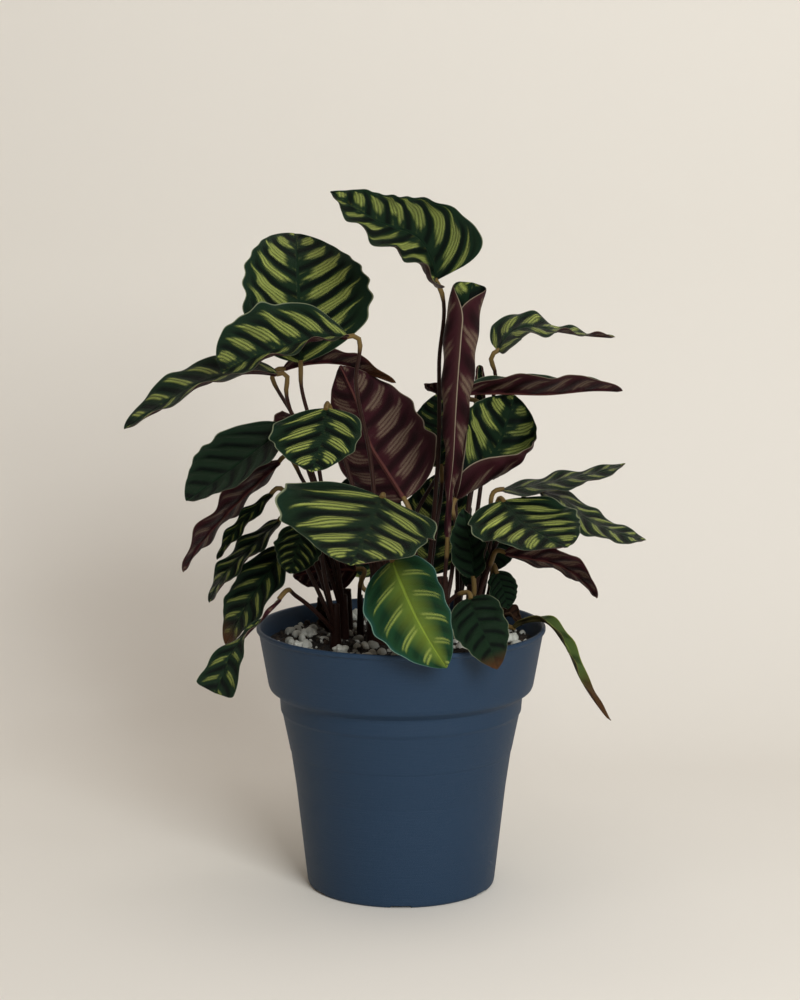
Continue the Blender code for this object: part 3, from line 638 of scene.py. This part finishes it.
def blade_values(leaf, s, t):
    """What the tree and the materials read at the shares s and t, for each grid point."""
    line = smooth_path(leaf.rib) * MM
    share = np.linspace(0, 1, len(line))
    centre, along = (
        np.stack([np.interp(s, share, rows[:, k]) for k in range(3)], 1)
        for rows in (line, directions(line)))
    along = unit(along)
    ease = (s * s * (3 - 2 * s))[:, None]
    up = np.array(leaf.faces) * (1 - ease) + np.array(leaf.faces_tip or leaf.faces) * ease
    up = unit(up - (up * along).sum(1)[:, None] * along)
    least = BASE_WIDTH / 2 * (1 - s) + TIP_WIDTH / 2 * s
    half = np.maximum(outline(leaf, s) * leaf.width / 2, least) * MM
    breadth = half / np.linalg.norm(np.diff(line, axis=0), axis=1).sum()
    half = half * (1 + leaf.lean * t * np.sin(math.pi * s))
    veins = (s - (VEIN_SLANT + VEIN_ARCH) * breadth) * leaf.bands + SIDE_SHIFT * np.sign(t)
    half = half * (1 + SCALLOP * np.cos(2 * math.pi * veins) * np.sin(math.pi * s))
    bends = leaf.curl if len(leaf.curl) == 4 else leaf.curl * 2
    first, last = (np.where(t < 0, bends[k], bends[k + 2]) for k in (0, 1))
    curl = np.radians(first * (1 - s) + last * s)
    curl = np.where(s > leaf.widest, curl * outline(leaf, s) ** leaf.unroll, curl)
    same = {name: np.full(len(s), getattr(leaf, name)) for name in ("bands", "stripes", "dry")}
    return {
        "along": s, "across": t, "centre": centre, "side": np.cross(along, up), "up": up,
        "half": half, "fold": np.radians(leaf.fold[0] * (1 - s) + leaf.fold[1] * s),
        "curl": np.where(np.abs(curl) < LEAST_CURL, LEAST_CURL, curl), "breadth": breadth,
        "seed": np.full(len(s), leaf.phase * 0.37), **same,
    }


def set_attribute(mesh, name, values):
    kind, field = ("FLOAT_VECTOR", "vector") if values.ndim == 2 else ("FLOAT", "value")
    mesh.attributes.new(name, kind, "POINT").data.foreach_set(field, values.ravel())


def plain_mesh(made, name):
    """The object's evaluated mesh in a new object, with the old one removed."""
    graph = bpy.context.evaluated_depsgraph_get()
    mesh = bpy.data.meshes.new_from_object(made.evaluated_get(graph))
    bpy.data.objects.remove(made)
    mesh.name = name
    return link(name, mesh)


def apply_tree(made, tree, sizes):
    """What a tree with its inputs set makes of an object, as a new object with a plain mesh."""
    grow = made.modifiers.new("grow", "NODES")
    grow.node_group = tree
    for socket in tree.interface.items_tree:
        if socket.in_out == "INPUT" and socket.name in sizes:
            grow[socket.identifier] = sizes[socket.name]
    return plain_mesh(made, made.name)


def grow_blade(leaf, tree):
    grid = bmesh.new()
    bmesh.ops.create_grid(grid, x_segments=COLUMNS, y_segments=ROWS, size=1)
    places = np.array([vert.co[:2] for vert in grid.verts])
    mesh = finished(grid, leaf.name)
    even = (places[:, 1] + 1) / 2
    s = (even + 0.5 - 0.5 * np.cos(math.pi * even)) / 2
    for name, values in blade_values(leaf, s, places[:, 0]).items():
        set_attribute(mesh, name, values)
    relief = min(1.0, leaf.width / FULL_RELIEF_WIDTH) * MM
    made = apply_tree(link(leaf.name + "_blade", mesh), tree, {
        "Wave height": leaf.wave * MM, "Waves": leaf.waves, "Phase": leaf.phase, "Bands": leaf.bands,
        "Vein swell": VEIN_SWELL * relief, "Rib groove": RIB_GROOVE * relief,
        "Thickness": BLADE_THICKNESS * MM, "Ridge": RIB_RIDGE * MM, "Ridge width": RIB_RIDGE_WIDTH * MM,
    })
    made.data.set_sharp_from_angle(angle=math.radians(75))
    return made


blade_trees = {look: blade_tree(*sides) for look, sides in skins.items()}
blades = {leaf.name: grow_blade(leaf, blade_trees[leaf.look]) for leaf in LEAVES}
print("blades:", len(blades), "faces each:", len(blades["leaf_top"].data.polygons))

# %% [markdown]
# ## The stems
#
# A calathea's leaf stands on a thin, wiry stem. Just under the blade the stem has a joint, a slightly
# thicker yellow-brown stretch that turns the leaf to the light. At the soil the stems of one shoot
# leave a common sheath. Lines that carry their radius at each point are swept with a circle.

# %% The stems' description
class Shoot(NamedTuple):
    """Stems that leave the soil at one point, each with the points that it bends through, in mm.

    Radius and sheath are the radius and the height of the sheath round their feet.
    """

    name: str
    at: tuple
    stems: dict
    radius: float = 3.6
    sheath: float = 26


SHOOTS = (
    Shoot("stems_left_tall", (-32, 26), {
        "leaf_round": ((-44, 26, 215), (-53, 24, 270), (-59, 22, 298)),
        "leaf_long_left": ((-42, 24, 205), (-58, 16, 262), (-67, 8, 292)),
        "leaf_brown_tip": ((-46, 34, 215), (-62, 37, 270)),
    }),
    Shoot("stems_top", (14, 14), {
        "leaf_top": ((19, 10, 215), (22, 2, 262), (22, -4, 310)),
        "leaf_back_dark": ((20, 18, 205),),
        "leaf_purple_centre": ((8, 8, 200),),
    }, radius=7, sheath=46),
    Shoot("stems_centre", (-12, -8), {
        "leaf_upper_left": ((-14, -14, 215), (-18, -12, 258), (-26, -14, 300)),
        "leaf_small_centre": ((-22, -10, 215), (-34, -10, 260)),
        "leaf_big_front": ((-10, -14, 200), (-10, -20, 228)),
    }, radius=8.5, sheath=52),
    Shoot("stems_left", (-34, 9), {
        "leaf_dark_left": ((-40, 0, 205), (-54, -12, 250)),
        "leaf_drooping_left": ((-44, 5, 205), (-58, 12, 240)),
        "leaf_tucked_left": ((-44, 3, 190), (-62, 1, 226)),
    }),
    Shoot("stems_left_low", (-38, -20), {
        "leaf_low_left": ((-46, -16, 185), (-60, -11, 214)),
        "leaf_low_striped": ((-48, -22, 180), (-59, -24, 202)),
        "leaf_over_rim": ((-48, -30, 168), (-60, -38, 180)),
        "leaf_left_shadow": ((-44, -27, 190), (-50, -36, 222)),
    }),
    Shoot("stems_rolled", (24, -10), {
        "leaf_rolled": ((25, -14, 180),),
        "leaf_funnel": ((30, -5, 190), (32, -1, 215)),
    }, radius=5.5, sheath=40),
    Shoot("stems_right_tall", (34, 22), {
        "leaf_right_top": ((46, 34, 220), (52, 40, 270), (56, 34, 300)),
        "leaf_right_purple": ((32, 16, 225), (29, 10, 270)),
        "leaf_back_curl": ((40, 28, 220), (44, 33, 262)),
        "leaf_young_tip": ((40, 32, 215), (45, 42, 248)),
    }),
    Shoot("stems_right", (42, -2), {
        "leaf_right_pointed": ((46, 2, 195), (52, 5, 222)),
        "leaf_right_wide": ((50, -2, 190), (68, -2, 226)),
        "leaf_right_front": ((46, -4, 190), (54, -4, 218)),
        "leaf_right_brown": ((46, -6, 175), (52, -7, 192)),
        "leaf_right_dark": ((42, -10, 168),),
    }, radius=5.5, sheath=34),
    Shoot("stems_right_low", (46, 18), {
        "leaf_right_shadow": ((52, 20, 190), (54, 21, 212)),
        "leaf_right_low": ((52, 14, 172), (54, 12, 184)),
        "leaf_right_folded": ((48, 17, 190), (50, 16, 206)),
    }),
    Shoot("stems_front", (6, -34), {
        "leaf_front_bright": ((0, -40, 185), (-4, -50, 203)),
        "leaf_front_dark": ((22, -42, 172), (34, -50, 184)),
    }),
    Shoot("stems_back", (-6, 50), {
        "leaf_back_left": ((-14, 54, 215), (-26, 58, 250)),
        "leaf_back_right": ((10, 54, 215), (30, 60, 248)),
        "leaf_back_low_left": ((-10, 55, 158),),
        "leaf_back_low_right": ((4, 54, 158), (12, 58, 166)),
    }),
    Shoot("stems_edge", (56, 16), {
        "leaf_strap_right": ((58, 15, 156),),
    }, radius=3),
    Shoot("stems_left_dark", (-24, 8), {
        "leaf_left_maroon": ((-24, 8, 178),),
    }, radius=2.4),
)


# %% Sizes along a stem
STEM_FOOT = 1.5
STEM_TOP = 1.1
JOINT_RADIUS = 1.45
JOINT_LENGTH = 13
SHEATH_DEPTH = 8
soil_low, soil_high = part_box("soil")
SOIL_TOP = soil_high.z / MM - 1.3
print("soil surface at about", round(SOIL_TOP, 1), "mm")


# %% The stem's tree
def stem_tree(skin):
    tree, given = geometry_tree("leaf stem", (), ("Sides",))
    add = partial(node, tree)
    line = add("GeometryNodeMeshToCurve", given["Geometry"])
    ring = add("GeometryNodeCurvePrimitiveCircle", given["Sides"], named={"Radius": 1.0})
    tube = add("GeometryNodeCurveToMesh", line, ring, read(tree, "thick"), True)
    tube = add("GeometryNodeSetShadeSmooth", tube)
    tube = add("GeometryNodeRealizeInstances", tube)
    tube = add("GeometryNodeSetMaterial", tube, named={"Material": skin})
    add("NodeGroupOutput", tube)
    return tree


def stem_line(shoot, leaf, bends):
    """A stem's points, with its radius and its share of joint at each, from the soil to the blade."""
    x, y = shoot.at
    rib = smooth_path(leaf.rib)
    towards = directions(rib)[0]
    foot = ((x, y, SOIL_TOP - SHEATH_DEPTH), (x, y, SOIL_TOP + 5))
    path = smooth_path((*foot, *bends, rib[0] - towards * 4, rib[0] + towards * 1.5), 46)
    left = np.linalg.norm(path - path[-1], axis=1)
    joint = np.clip((JOINT_LENGTH - left) / 2.5, 0, 1)
    joint = joint * joint * (3 - 2 * joint)
    share = np.linspace(0, 1, len(path))
    thick = STEM_FOOT * (1 - share) + STEM_TOP * share
    return path, thick * (1 - joint) + JOINT_RADIUS * joint, joint


def sheath_line(shoot):
    x, y = shoot.at
    heights = np.linspace(-SHEATH_DEPTH, shoot.sheath, 12)
    share = (heights - heights[0]) / (heights[-1] - heights[0])
    points = np.stack([np.full(12, x), np.full(12, y), SOIL_TOP + heights], 1)
    return points, shoot.radius * (1 - 0.4 * share**1.6), np.zeros(12)


def grow_stems(shoot, tree):
    stems = (stem_line(shoot, leaf_by_name[name], bends) for name, bends in shoot.stems.items())
    lines = [sheath_line(shoot), *stems]
    points, thick, joint = (np.concatenate(values) for values in zip(*lines))
    starts = np.cumsum([0, *(len(line[0]) for line in lines)])
    edges = [(n, n + 1) for a, b in zip(starts, starts[1:]) for n in range(a, b - 1)]
    mesh = bpy.data.meshes.new(shoot.name)
    mesh.from_pydata((points * MM).tolist(), edges, [])
    set_attribute(mesh, "thick", thick * MM)
    set_attribute(mesh, "joint", joint)
    return apply_tree(link(shoot.name + "_round", mesh), tree, {"Sides": 14})


# %% [markdown]
# ## Stem skin
#
# A stem is dark red-brown and faintly waxy, with fine lengthwise lines. Its joint is yellow-brown.

# %% The stem's material and the stems
def stem_material():
    made, tree = new_material("leaf stem, waxy brown")
    add = partial(node, tree)
    joint = add("ShaderNodeAttribute", out=2, attribute_name="joint")
    place = add("ShaderNodeTexCoord", out=3)
    stretched = add("ShaderNodeMapping", place, named={"Scale": (900, 900, 60)})
    lines = add(NOISE, stretched, None, 1.0, 2.0)
    cloud = add(NOISE, place, None, 45.0, 2.0)
    brown = mix(tree, add(RANGE, lines, 0.4, 0.65, 0.0, 1.0), "#1d110e", "#33201a")
    brown = mix(tree, add(RANGE, cloud, 0.45, 0.62, 0.0, 0.6), brown, "#3a201b")
    colour = mix(tree, joint, brown, mix(tree, lines, "#5d4a2b", "#756038"))
    surface(tree, colour, 0.42, (0.4, 0.0002, lines), {"Specular IOR Level": 0.12})
    return made


leaf_by_name = {leaf.name: leaf for leaf in LEAVES}
stem_skin = stem_material()
stem = stem_tree(stem_skin)
shoots = {shoot.name: grow_stems(shoot, stem) for shoot in SHOOTS}
print("shoots:", len(shoots))

# %% [markdown]
# ## The pot
#
# A nursery pot is polypropylene, formed in one shell about 2 mm thick. Its outline is turned about
# the pot's axis: a thin lip, a deep collar, two soft steps and a tapering wall. Each corner is eased
# with a short arc, as a mould's corner is, and the foot has drain holes with grooves between them.

# %% The turned shell
# The pot, in mm: radius and height down its outer side
POT_SIDE = (
    (84.6, 155.5), (85, 155), (85, 153), (83.6, 152.2), (78.1, 121), (77.2, 118.8), (72, 115.2),
    (71.6, 113.4), (71, 105.4), (70, 103.8), (65.5, 81.5), (64.3, 79.5), (55.7, 2.5), (55.2, 0.8), (54, 0),
)
WALL = 1.8
FLOOR = 2.6
DRAIN_COUNT = 6
DRAIN_RADIUS = 4.5
DRAIN_RING = 38
GROOVE_WIDTH = 12
GROOVE_DEPTH = 1.5
GROOVE_START = 30
CORNER_EASE = 0.8


def eased(profile, reach):
    """A profile with each corner between its ends rounded over the given reach, in mm."""
    points = [Vector(p) for p in profile]
    done = [points[0]]
    for before, corner, after in zip(points, points[1:], points[2:]):
        back, ahead = before - corner, after - corner
        step = min(reach, back.length * 0.45, ahead.length * 0.45)
        first, last = corner + back.normalized() * step, corner + ahead.normalized() * step
        for share in (0, 0.33, 0.67, 1):
            done.append(first.lerp(corner, share).lerp(corner.lerp(last, share), share))
    return [*done, points[-1]]


def turned(name, profile, steps):
    shape = bmesh.new()
    verts = [shape.verts.new((r * MM, 0, z * MM)) for r, z in profile]
    for a, b in zip(verts, verts[1:]):
        shape.edges.new((a, b))
    made = link(name, finished(shape, name))
    turn = made.modifiers.new("turn", "SCREW")
    turn.steps = turn.render_steps = steps
    turn.use_merge_vertices = True
    turn.merge_threshold = 1e-5
    return made


def add_pot():
    inner = [(POT_SIDE[n][0] - WALL, max(POT_SIDE[n][1], FLOOR)) for n in (12, 7, 4, 3)]
    inside = [(0, FLOOR), *inner, (POT_SIDE[0][0] - WALL, POT_SIDE[0][1])]
    pot = turned("pot_shell", eased([*inside, *POT_SIDE, (0, 0)], CORNER_EASE), 144)
    cutters = []
    length = POT_SIDE[-1][0] + 10 - GROOVE_START
    groove_size = Vector((length, GROOVE_WIDTH, 2 * GROOVE_DEPTH)) * MM
    drill_size = {"radius1": DRAIN_RADIUS * MM, "radius2": DRAIN_RADIUS * MM, "depth": 0.02}
    for n in range(DRAIN_COUNT):
        turn = math.radians(-90 + n * 360 / DRAIN_COUNT)
        ahead = Vector((math.cos(turn), math.sin(turn), 0))
        groove, drill = bmesh.new(), bmesh.new()
        bmesh.ops.create_cube(groove, size=1)
        bmesh.ops.scale(groove, verts=groove.verts, vec=groove_size)
        bmesh.ops.create_cone(drill, cap_ends=True, segments=28, **drill_size)
        for shape, reach in ((groove, GROOVE_START + length / 2), (drill, DRAIN_RING)):
            cutter = link("cutter", finished(shape, "cutter"))
            cutter.location = ahead * reach * MM
            cutter.rotation_euler.z = turn
            cut = pot.modifiers.new("cut", "BOOLEAN")
            cut.object = cutter
            cutters.append(cutter)
    made = plain_mesh(pot, "pot_shell")
    for cutter in cutters:
        bpy.data.objects.remove(cutter)
    made.data.shade_smooth()
    made.data.set_sharp_from_angle(angle=math.radians(50))
    return made


# %% [markdown]
# ## Moulded plastic
#
# Matte polypropylene, coloured through: IOR 1.49 and a satin surface that is never quite even. Faint
# flow marks run round the wall, and dust and light scuffs show on it.

# %% The pot's material
POT_DARK, POT_LIGHT, DUST = "#182f46", "#1d354e", "#7d8790"


def pot_material():
    made, tree = new_material("polypropylene, moulded, matte slate blue")
    add = partial(node, tree)
    place = add("ShaderNodeTexCoord", out=3)
    cloud = add(NOISE, place, None, 22.0, 4.0)
    speck = add(NOISE, place, None, 520.0, 3.0)
    stretched = add("ShaderNodeMapping", place, named={"Scale": (8, 8, 160)})
    flow = add(NOISE, stretched, None, 1.0, 3.0)
    base = mix(tree, add(RANGE, cloud, 0.35, 0.65, 0.0, 1.0), POT_DARK, POT_LIGHT)
    colour = mix(tree, add(RANGE, speck, 0.62, 0.75, 0.0, 0.35), base, DUST)
    rough = add(RANGE, cloud, 0.3, 0.7, 0.48, 0.62)
    height = add(MATH, flow, 1.5, speck, **TIMES_PLUS)
    surface(tree, colour, rough, (0.25, 0.0004, height), {"IOR": 1.49, "Specular IOR Level": 0.25})
    return made


pot = add_pot()
pot.data.materials.clear()
pot.data.materials.append(pot_material())
print("pot:", len(pot.data.polygons), "faces")

# %% [markdown]
# ## Compost and perlite
#
# Potting compost is peat and bark: dark crumbs from dust to a few millimetres. Perlite is a volcanic
# glass that puffs up when it is heated, so it is white, light and rough. Both repeat many times, so one
# tree scatters small lumps over the soil's surface, each turned and sized by chance with a fixed seed.

# %% The scattering tree
CRUMB_NUMBERS = ("Density", "Smallest", "Largest", "Roughness", "Sink")


def scatter_tree(name, stuff):
    tree, given = geometry_tree(name, CRUMB_NUMBERS, ("Seed", "Detail"))
    add = partial(node, tree)
    even = {name: given[name] for name in ("Density", "Seed")}
    points = add("GeometryNodeDistributePointsOnFaces", given["Geometry"], named=even)
    lump = add("GeometryNodeMeshIcoSphere", 1.0, given["Detail"])
    size = add("FunctionNodeRandomValue", 0.0, 1.0, None, given["Seed"])
    size = add(MATH, size, 2.5, operation="POWER")
    size = add(RANGE, size, 0.0, 1.0, given["Smallest"], given["Largest"])
    chance = partial(add, "FunctionNodeRandomValue", data_type="FLOAT_VECTOR")
    spin = chance((0, 0, 0), (6.3, 6.3, 6.3), None, given["Seed"])
    squash = chance((0.7, 0.7, 0.5), (1.3, 1.1, 1.0), None, given["Seed"])
    scale = add(VECTOR, squash, size, **SCALE)
    lumps = add("GeometryNodeInstanceOnPoints", points, None, lump, None, None, spin, scale)
    tone = add("FunctionNodeRandomValue", 0.0, 1.0, None, 7)
    lumps = add("GeometryNodeStoreNamedAttribute", lumps, None, "tone", tone, domain="INSTANCE")
    whole = add("GeometryNodeRealizeInstances", lumps)
    bumps = add(NOISE, add("GeometryNodeInputPosition"), None, 420.0, 2.0, out=1)
    bumps = add(VECTOR, bumps, (0.5, 0.5, 0.5), **MINUS)
    bumps = add(VECTOR, bumps, given["Roughness"], **SCALE)
    down = add("ShaderNodeCombineXYZ", None, None, add(MATH, given["Sink"], -1.0, **TIMES))
    moved = add(VECTOR, bumps, down, **PLUS)
    whole = add("GeometryNodeSetPosition", whole, named={"Offset": moved})
    whole = add("GeometryNodeSetShadeSmooth", whole, None, False)
    whole = add("GeometryNodeSetMaterial", whole, named={"Material": stuff})
    add("NodeGroupOutput", whole)
    return tree


def soil_disc(name, radius, holes):
    """The soil's surface as a fine disc with shallow mounds, less a hole round each sheath."""
    def outside(place):
        inside = ((place.xy - Vector(at) * MM).length < reach * MM for at, reach in holes)
        return place.length > radius * MM or any(inside)

    disc = bmesh.new()
    bmesh.ops.create_grid(disc, x_segments=90, y_segments=90, size=radius * MM)
    spare = [vert for vert in disc.verts if outside(vert.co)]
    bmesh.ops.delete(disc, geom=spare, context="VERTS")
    for vert in disc.verts:
        x, y, _ = vert.co / MM
        mound = 0.8 * math.sin(x / 9 + 1) * math.cos(y / 8) + 0.5 * math.sin(y / 5 + x / 14)
        vert.co.z = (SOIL_TOP + mound) * MM
    return link(name, finished(disc, name))


# %% Materials of compost and perlite
def compost_material():
    made, tree = new_material("potting compost, peat and bark")
    add = partial(node, tree)
    tone = add("ShaderNodeAttribute", out=2, attribute_name="tone")
    grain = add(NOISE, add("ShaderNodeTexCoord", out=3), None, 700.0, 3.0)
    colour = mix(tree, add(MATH, tone, 3.0, operation="POWER"), "#17110d", "#4a3a2c")
    colour = mix(tree, add(RANGE, grain, 0.4, 0.7, 0.0, 0.6), colour, "#2a211a")
    surface(tree, colour, 0.95, (0.8, 0.0006, grain))
    return made


def perlite_material():
    made, tree = new_material("perlite, puffed volcanic glass")
    add = partial(node, tree)
    tone = add("ShaderNodeAttribute", out=2, attribute_name="tone")
    place = add("ShaderNodeTexCoord", out=3)
    pit_depth_and_shade = add("ShaderNodeTexVoronoi", place, None, 900.0)
    stain = add(NOISE, place, None, 160.0, 3.0)
    colour = mix(tree, tone, "#8d8d88", "#cfd0c9")
    colour = mix(tree, add(RANGE, stain, 0.5, 0.7, 0.0, 0.55), colour, "#8c8a5e")
    # Painted shade: the perlite turns grey in its pits, where shade falls in the hollows.
    colour = mix(tree, add(RANGE, pit_depth_and_shade, 0.0, 0.35, 0.5, 0.0), colour, "#6a6862")
    surface(tree, colour, 0.9, (0.9, 0.0008, pit_depth_and_shade))
    return made


compost, perlite = compost_material(), perlite_material()
HOLES = [(shoot.at, shoot.radius + 0.4) for shoot in SHOOTS]
EDGE = min(soil_high.x, soil_high.y) / MM - 2.5
CRUMBS = {
    "Density": 150000.0, "Smallest": 0.5 * MM, "Largest": 2.6 * MM, "Roughness": 1.0 * MM,
    "Sink": 0.2 * MM, "Seed": 3, "Detail": 1,
}
BITS = {
    "Density": 17000.0, "Smallest": 0.8 * MM, "Largest": 4.2 * MM, "Roughness": 1.2 * MM,
    "Sink": -0.6 * MM, "Seed": 11, "Detail": 2,
}
crumbs, bits = (
    apply_tree(soil_disc(name, EDGE, HOLES), scatter_tree(words, stuff), sizes)
    for name, words, stuff, sizes in (
        ("soil_crumbs_scatter", "compost crumbs", compost, CRUMBS),
        ("perlite_bits_scatter", "perlite bits", perlite, BITS)))
print("crumb faces:", len(crumbs.data.polygons), "perlite faces:", len(bits.data.polygons))

# %% The large stones
def add_stone(name, seed):
    low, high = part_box(name)
    middle, size = (low + high) / 2, (high - low) / 2
    lump = bmesh.new()
    bmesh.ops.create_icosphere(lump, subdivisions=4, radius=1)
    for vert in lump.verts:
        d = vert.co.copy()
        grow = (
            1 + 0.16 * math.sin(6.2 * d.x + seed) + 0.12 * math.cos(4.2 * d.y + 2 * seed)
            - 0.1 * math.sin(5 * d.z + seed))
        grow += (
            0.07 * math.sin(13 * d.x + 5 * d.z) * math.cos(11 * d.y)
            + 0.03 * math.sin(31 * d.y + 9 * d.x))
        vert.co = d * grow
    reach = [max(abs(v.co[k]) for v in lump.verts) for k in range(3)]
    for vert in lump.verts:
        vert.co = middle + Vector([vert.co[k] * size[k] / reach[k] for k in range(3)])
    mesh = finished(lump, name)
    set_attribute(mesh, "tone", np.full(len(mesh.vertices), 0.75))
    mesh.shade_smooth()
    mesh.materials.append(perlite)
    return link(name + "_stone", mesh)


stones = {f"perlite_{n}": add_stone(f"perlite_{n}", n) for n in range(1, 6)}

# %% [markdown]
# ## Joining the frame
#
# Everything rests in one body. Each piece stands for the solid that it was made from, and the soil
# keeps its solid, with the compost material under the crumbs.

# %% Riding and replacing
def join_frame(piece, slot_name, *nodes):
    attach(piece, "root")
    if nodes:
        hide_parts(*nodes)


WITHERED = ("leaf_withered", "leaf_withered_curl")
for name, piece in blades.items():
    join_frame(piece, "withered" if name in WITHERED else "leaf", name)
for name, piece in shoots.items():
    join_frame(piece, "stem", name)
for name, piece in stones.items():
    join_frame(piece, "perlite", name)
join_frame(pot, "pot", "pot")
join_frame(crumbs, "soil")
join_frame(bits, "perlite")
for solid in bpy.data.objects:
    if solid.name == "soil":
        solid.data.materials.clear()
        solid.data.materials.append(compost)

# %% [markdown]
# ## Floor, backdrop, light and camera
#
# A pale sheet that curves up behind the plant is floor and backdrop in one. Its back side is clear,
# so that the plant can be looked at from behind too. The key light is a large soft one in front, a
# little to the right, and a weaker, broader one overhead fills the shadows. The camera is a 90 mm lens
# a metre and a half away, a little higher than the plant and tipped down.

# %% The sheet
SHEET_FRONT, SHEET_TURN, SHEET_BACK, SHEET_HEIGHT, SHEET_WIDTH = -1.6, 0.25, 0.6, 2.2, 4.0
SHEET_COLOUR = "#e7e3dc"
BACKFACING = 6  # this output's place on the Geometry node


def add_sheet():
    reach = SHEET_BACK - SHEET_TURN
    turns = np.linspace(0, math.pi / 2, 24)
    bend = [(SHEET_TURN + reach * math.sin(turn), reach * (1 - math.cos(turn))) for turn in turns]
    side = [(SHEET_FRONT, 0), *bend, (SHEET_BACK, SHEET_HEIGHT)]
    sheet = bmesh.new()
    rows = [[sheet.verts.new((x, y, z)) for x in (-SHEET_WIDTH, SHEET_WIDTH)] for y, z in side]
    for a, b in zip(rows, rows[1:]):
        sheet.faces.new((a[0], a[1], b[1], b[0]))
    mesh = finished(sheet, "floor")
    mesh.shade_smooth()
    made, tree = new_material("painted board, matte warm white")
    behind = node(tree, "ShaderNodeNewGeometry", out=BACKFACING)
    in_sight = node(tree, MATH, 1.0, behind, **MINUS)
    surface(tree, linear(SHEET_COLOUR), 0.9, levels={"Alpha": in_sight})
    mesh.materials.append(made)
    return link("floor", mesh)


add_sheet()

# %% The lights
def add_light(name, place, aim, size, power, colour):
    lamp = bpy.data.lights.new(name, "AREA")
    lamp.shape = "RECTANGLE"
    lamp.size, lamp.size_y = size
    lamp.energy = power
    lamp.color = linear(colour)[:3]
    made = link(name, lamp)
    made.location = place
    made.rotation_euler = (Vector(aim) - Vector(place)).to_track_quat("-Z", "Y").to_euler()


add_light("key", (0.6, -1.62, 1.0), (0, 0, 0.2), (0.8, 0.8), 30.5, "#fafdfd")
add_light("overhead", (0.2, -0.3, 1.7), (0, 0.1, 0), (1.2, 1.2), 6.5, "#fdfbfb")
world = bpy.data.worlds.new("studio")
world.use_nodes = True
background = world.node_tree.nodes["Background"].inputs
background["Color"].default_value = linear("#f6e2cc")
background["Strength"].default_value = 0.23
bpy.context.scene.world = world
bpy.context.scene.view_settings.view_transform = "Standard"

# %% The camera
CAMERA_PLACE = (-0.0006, -1.442, 0.4547)
CAMERA_TIP = 8.87
lens = bpy.data.cameras.new("camera")
lens.lens = 90
lens.sensor_width = 36
camera = link("camera", lens)
camera.location = CAMERA_PLACE
camera.rotation_euler = (math.radians(90 - CAMERA_TIP), 0, 0)
bpy.context.scene.camera = camera
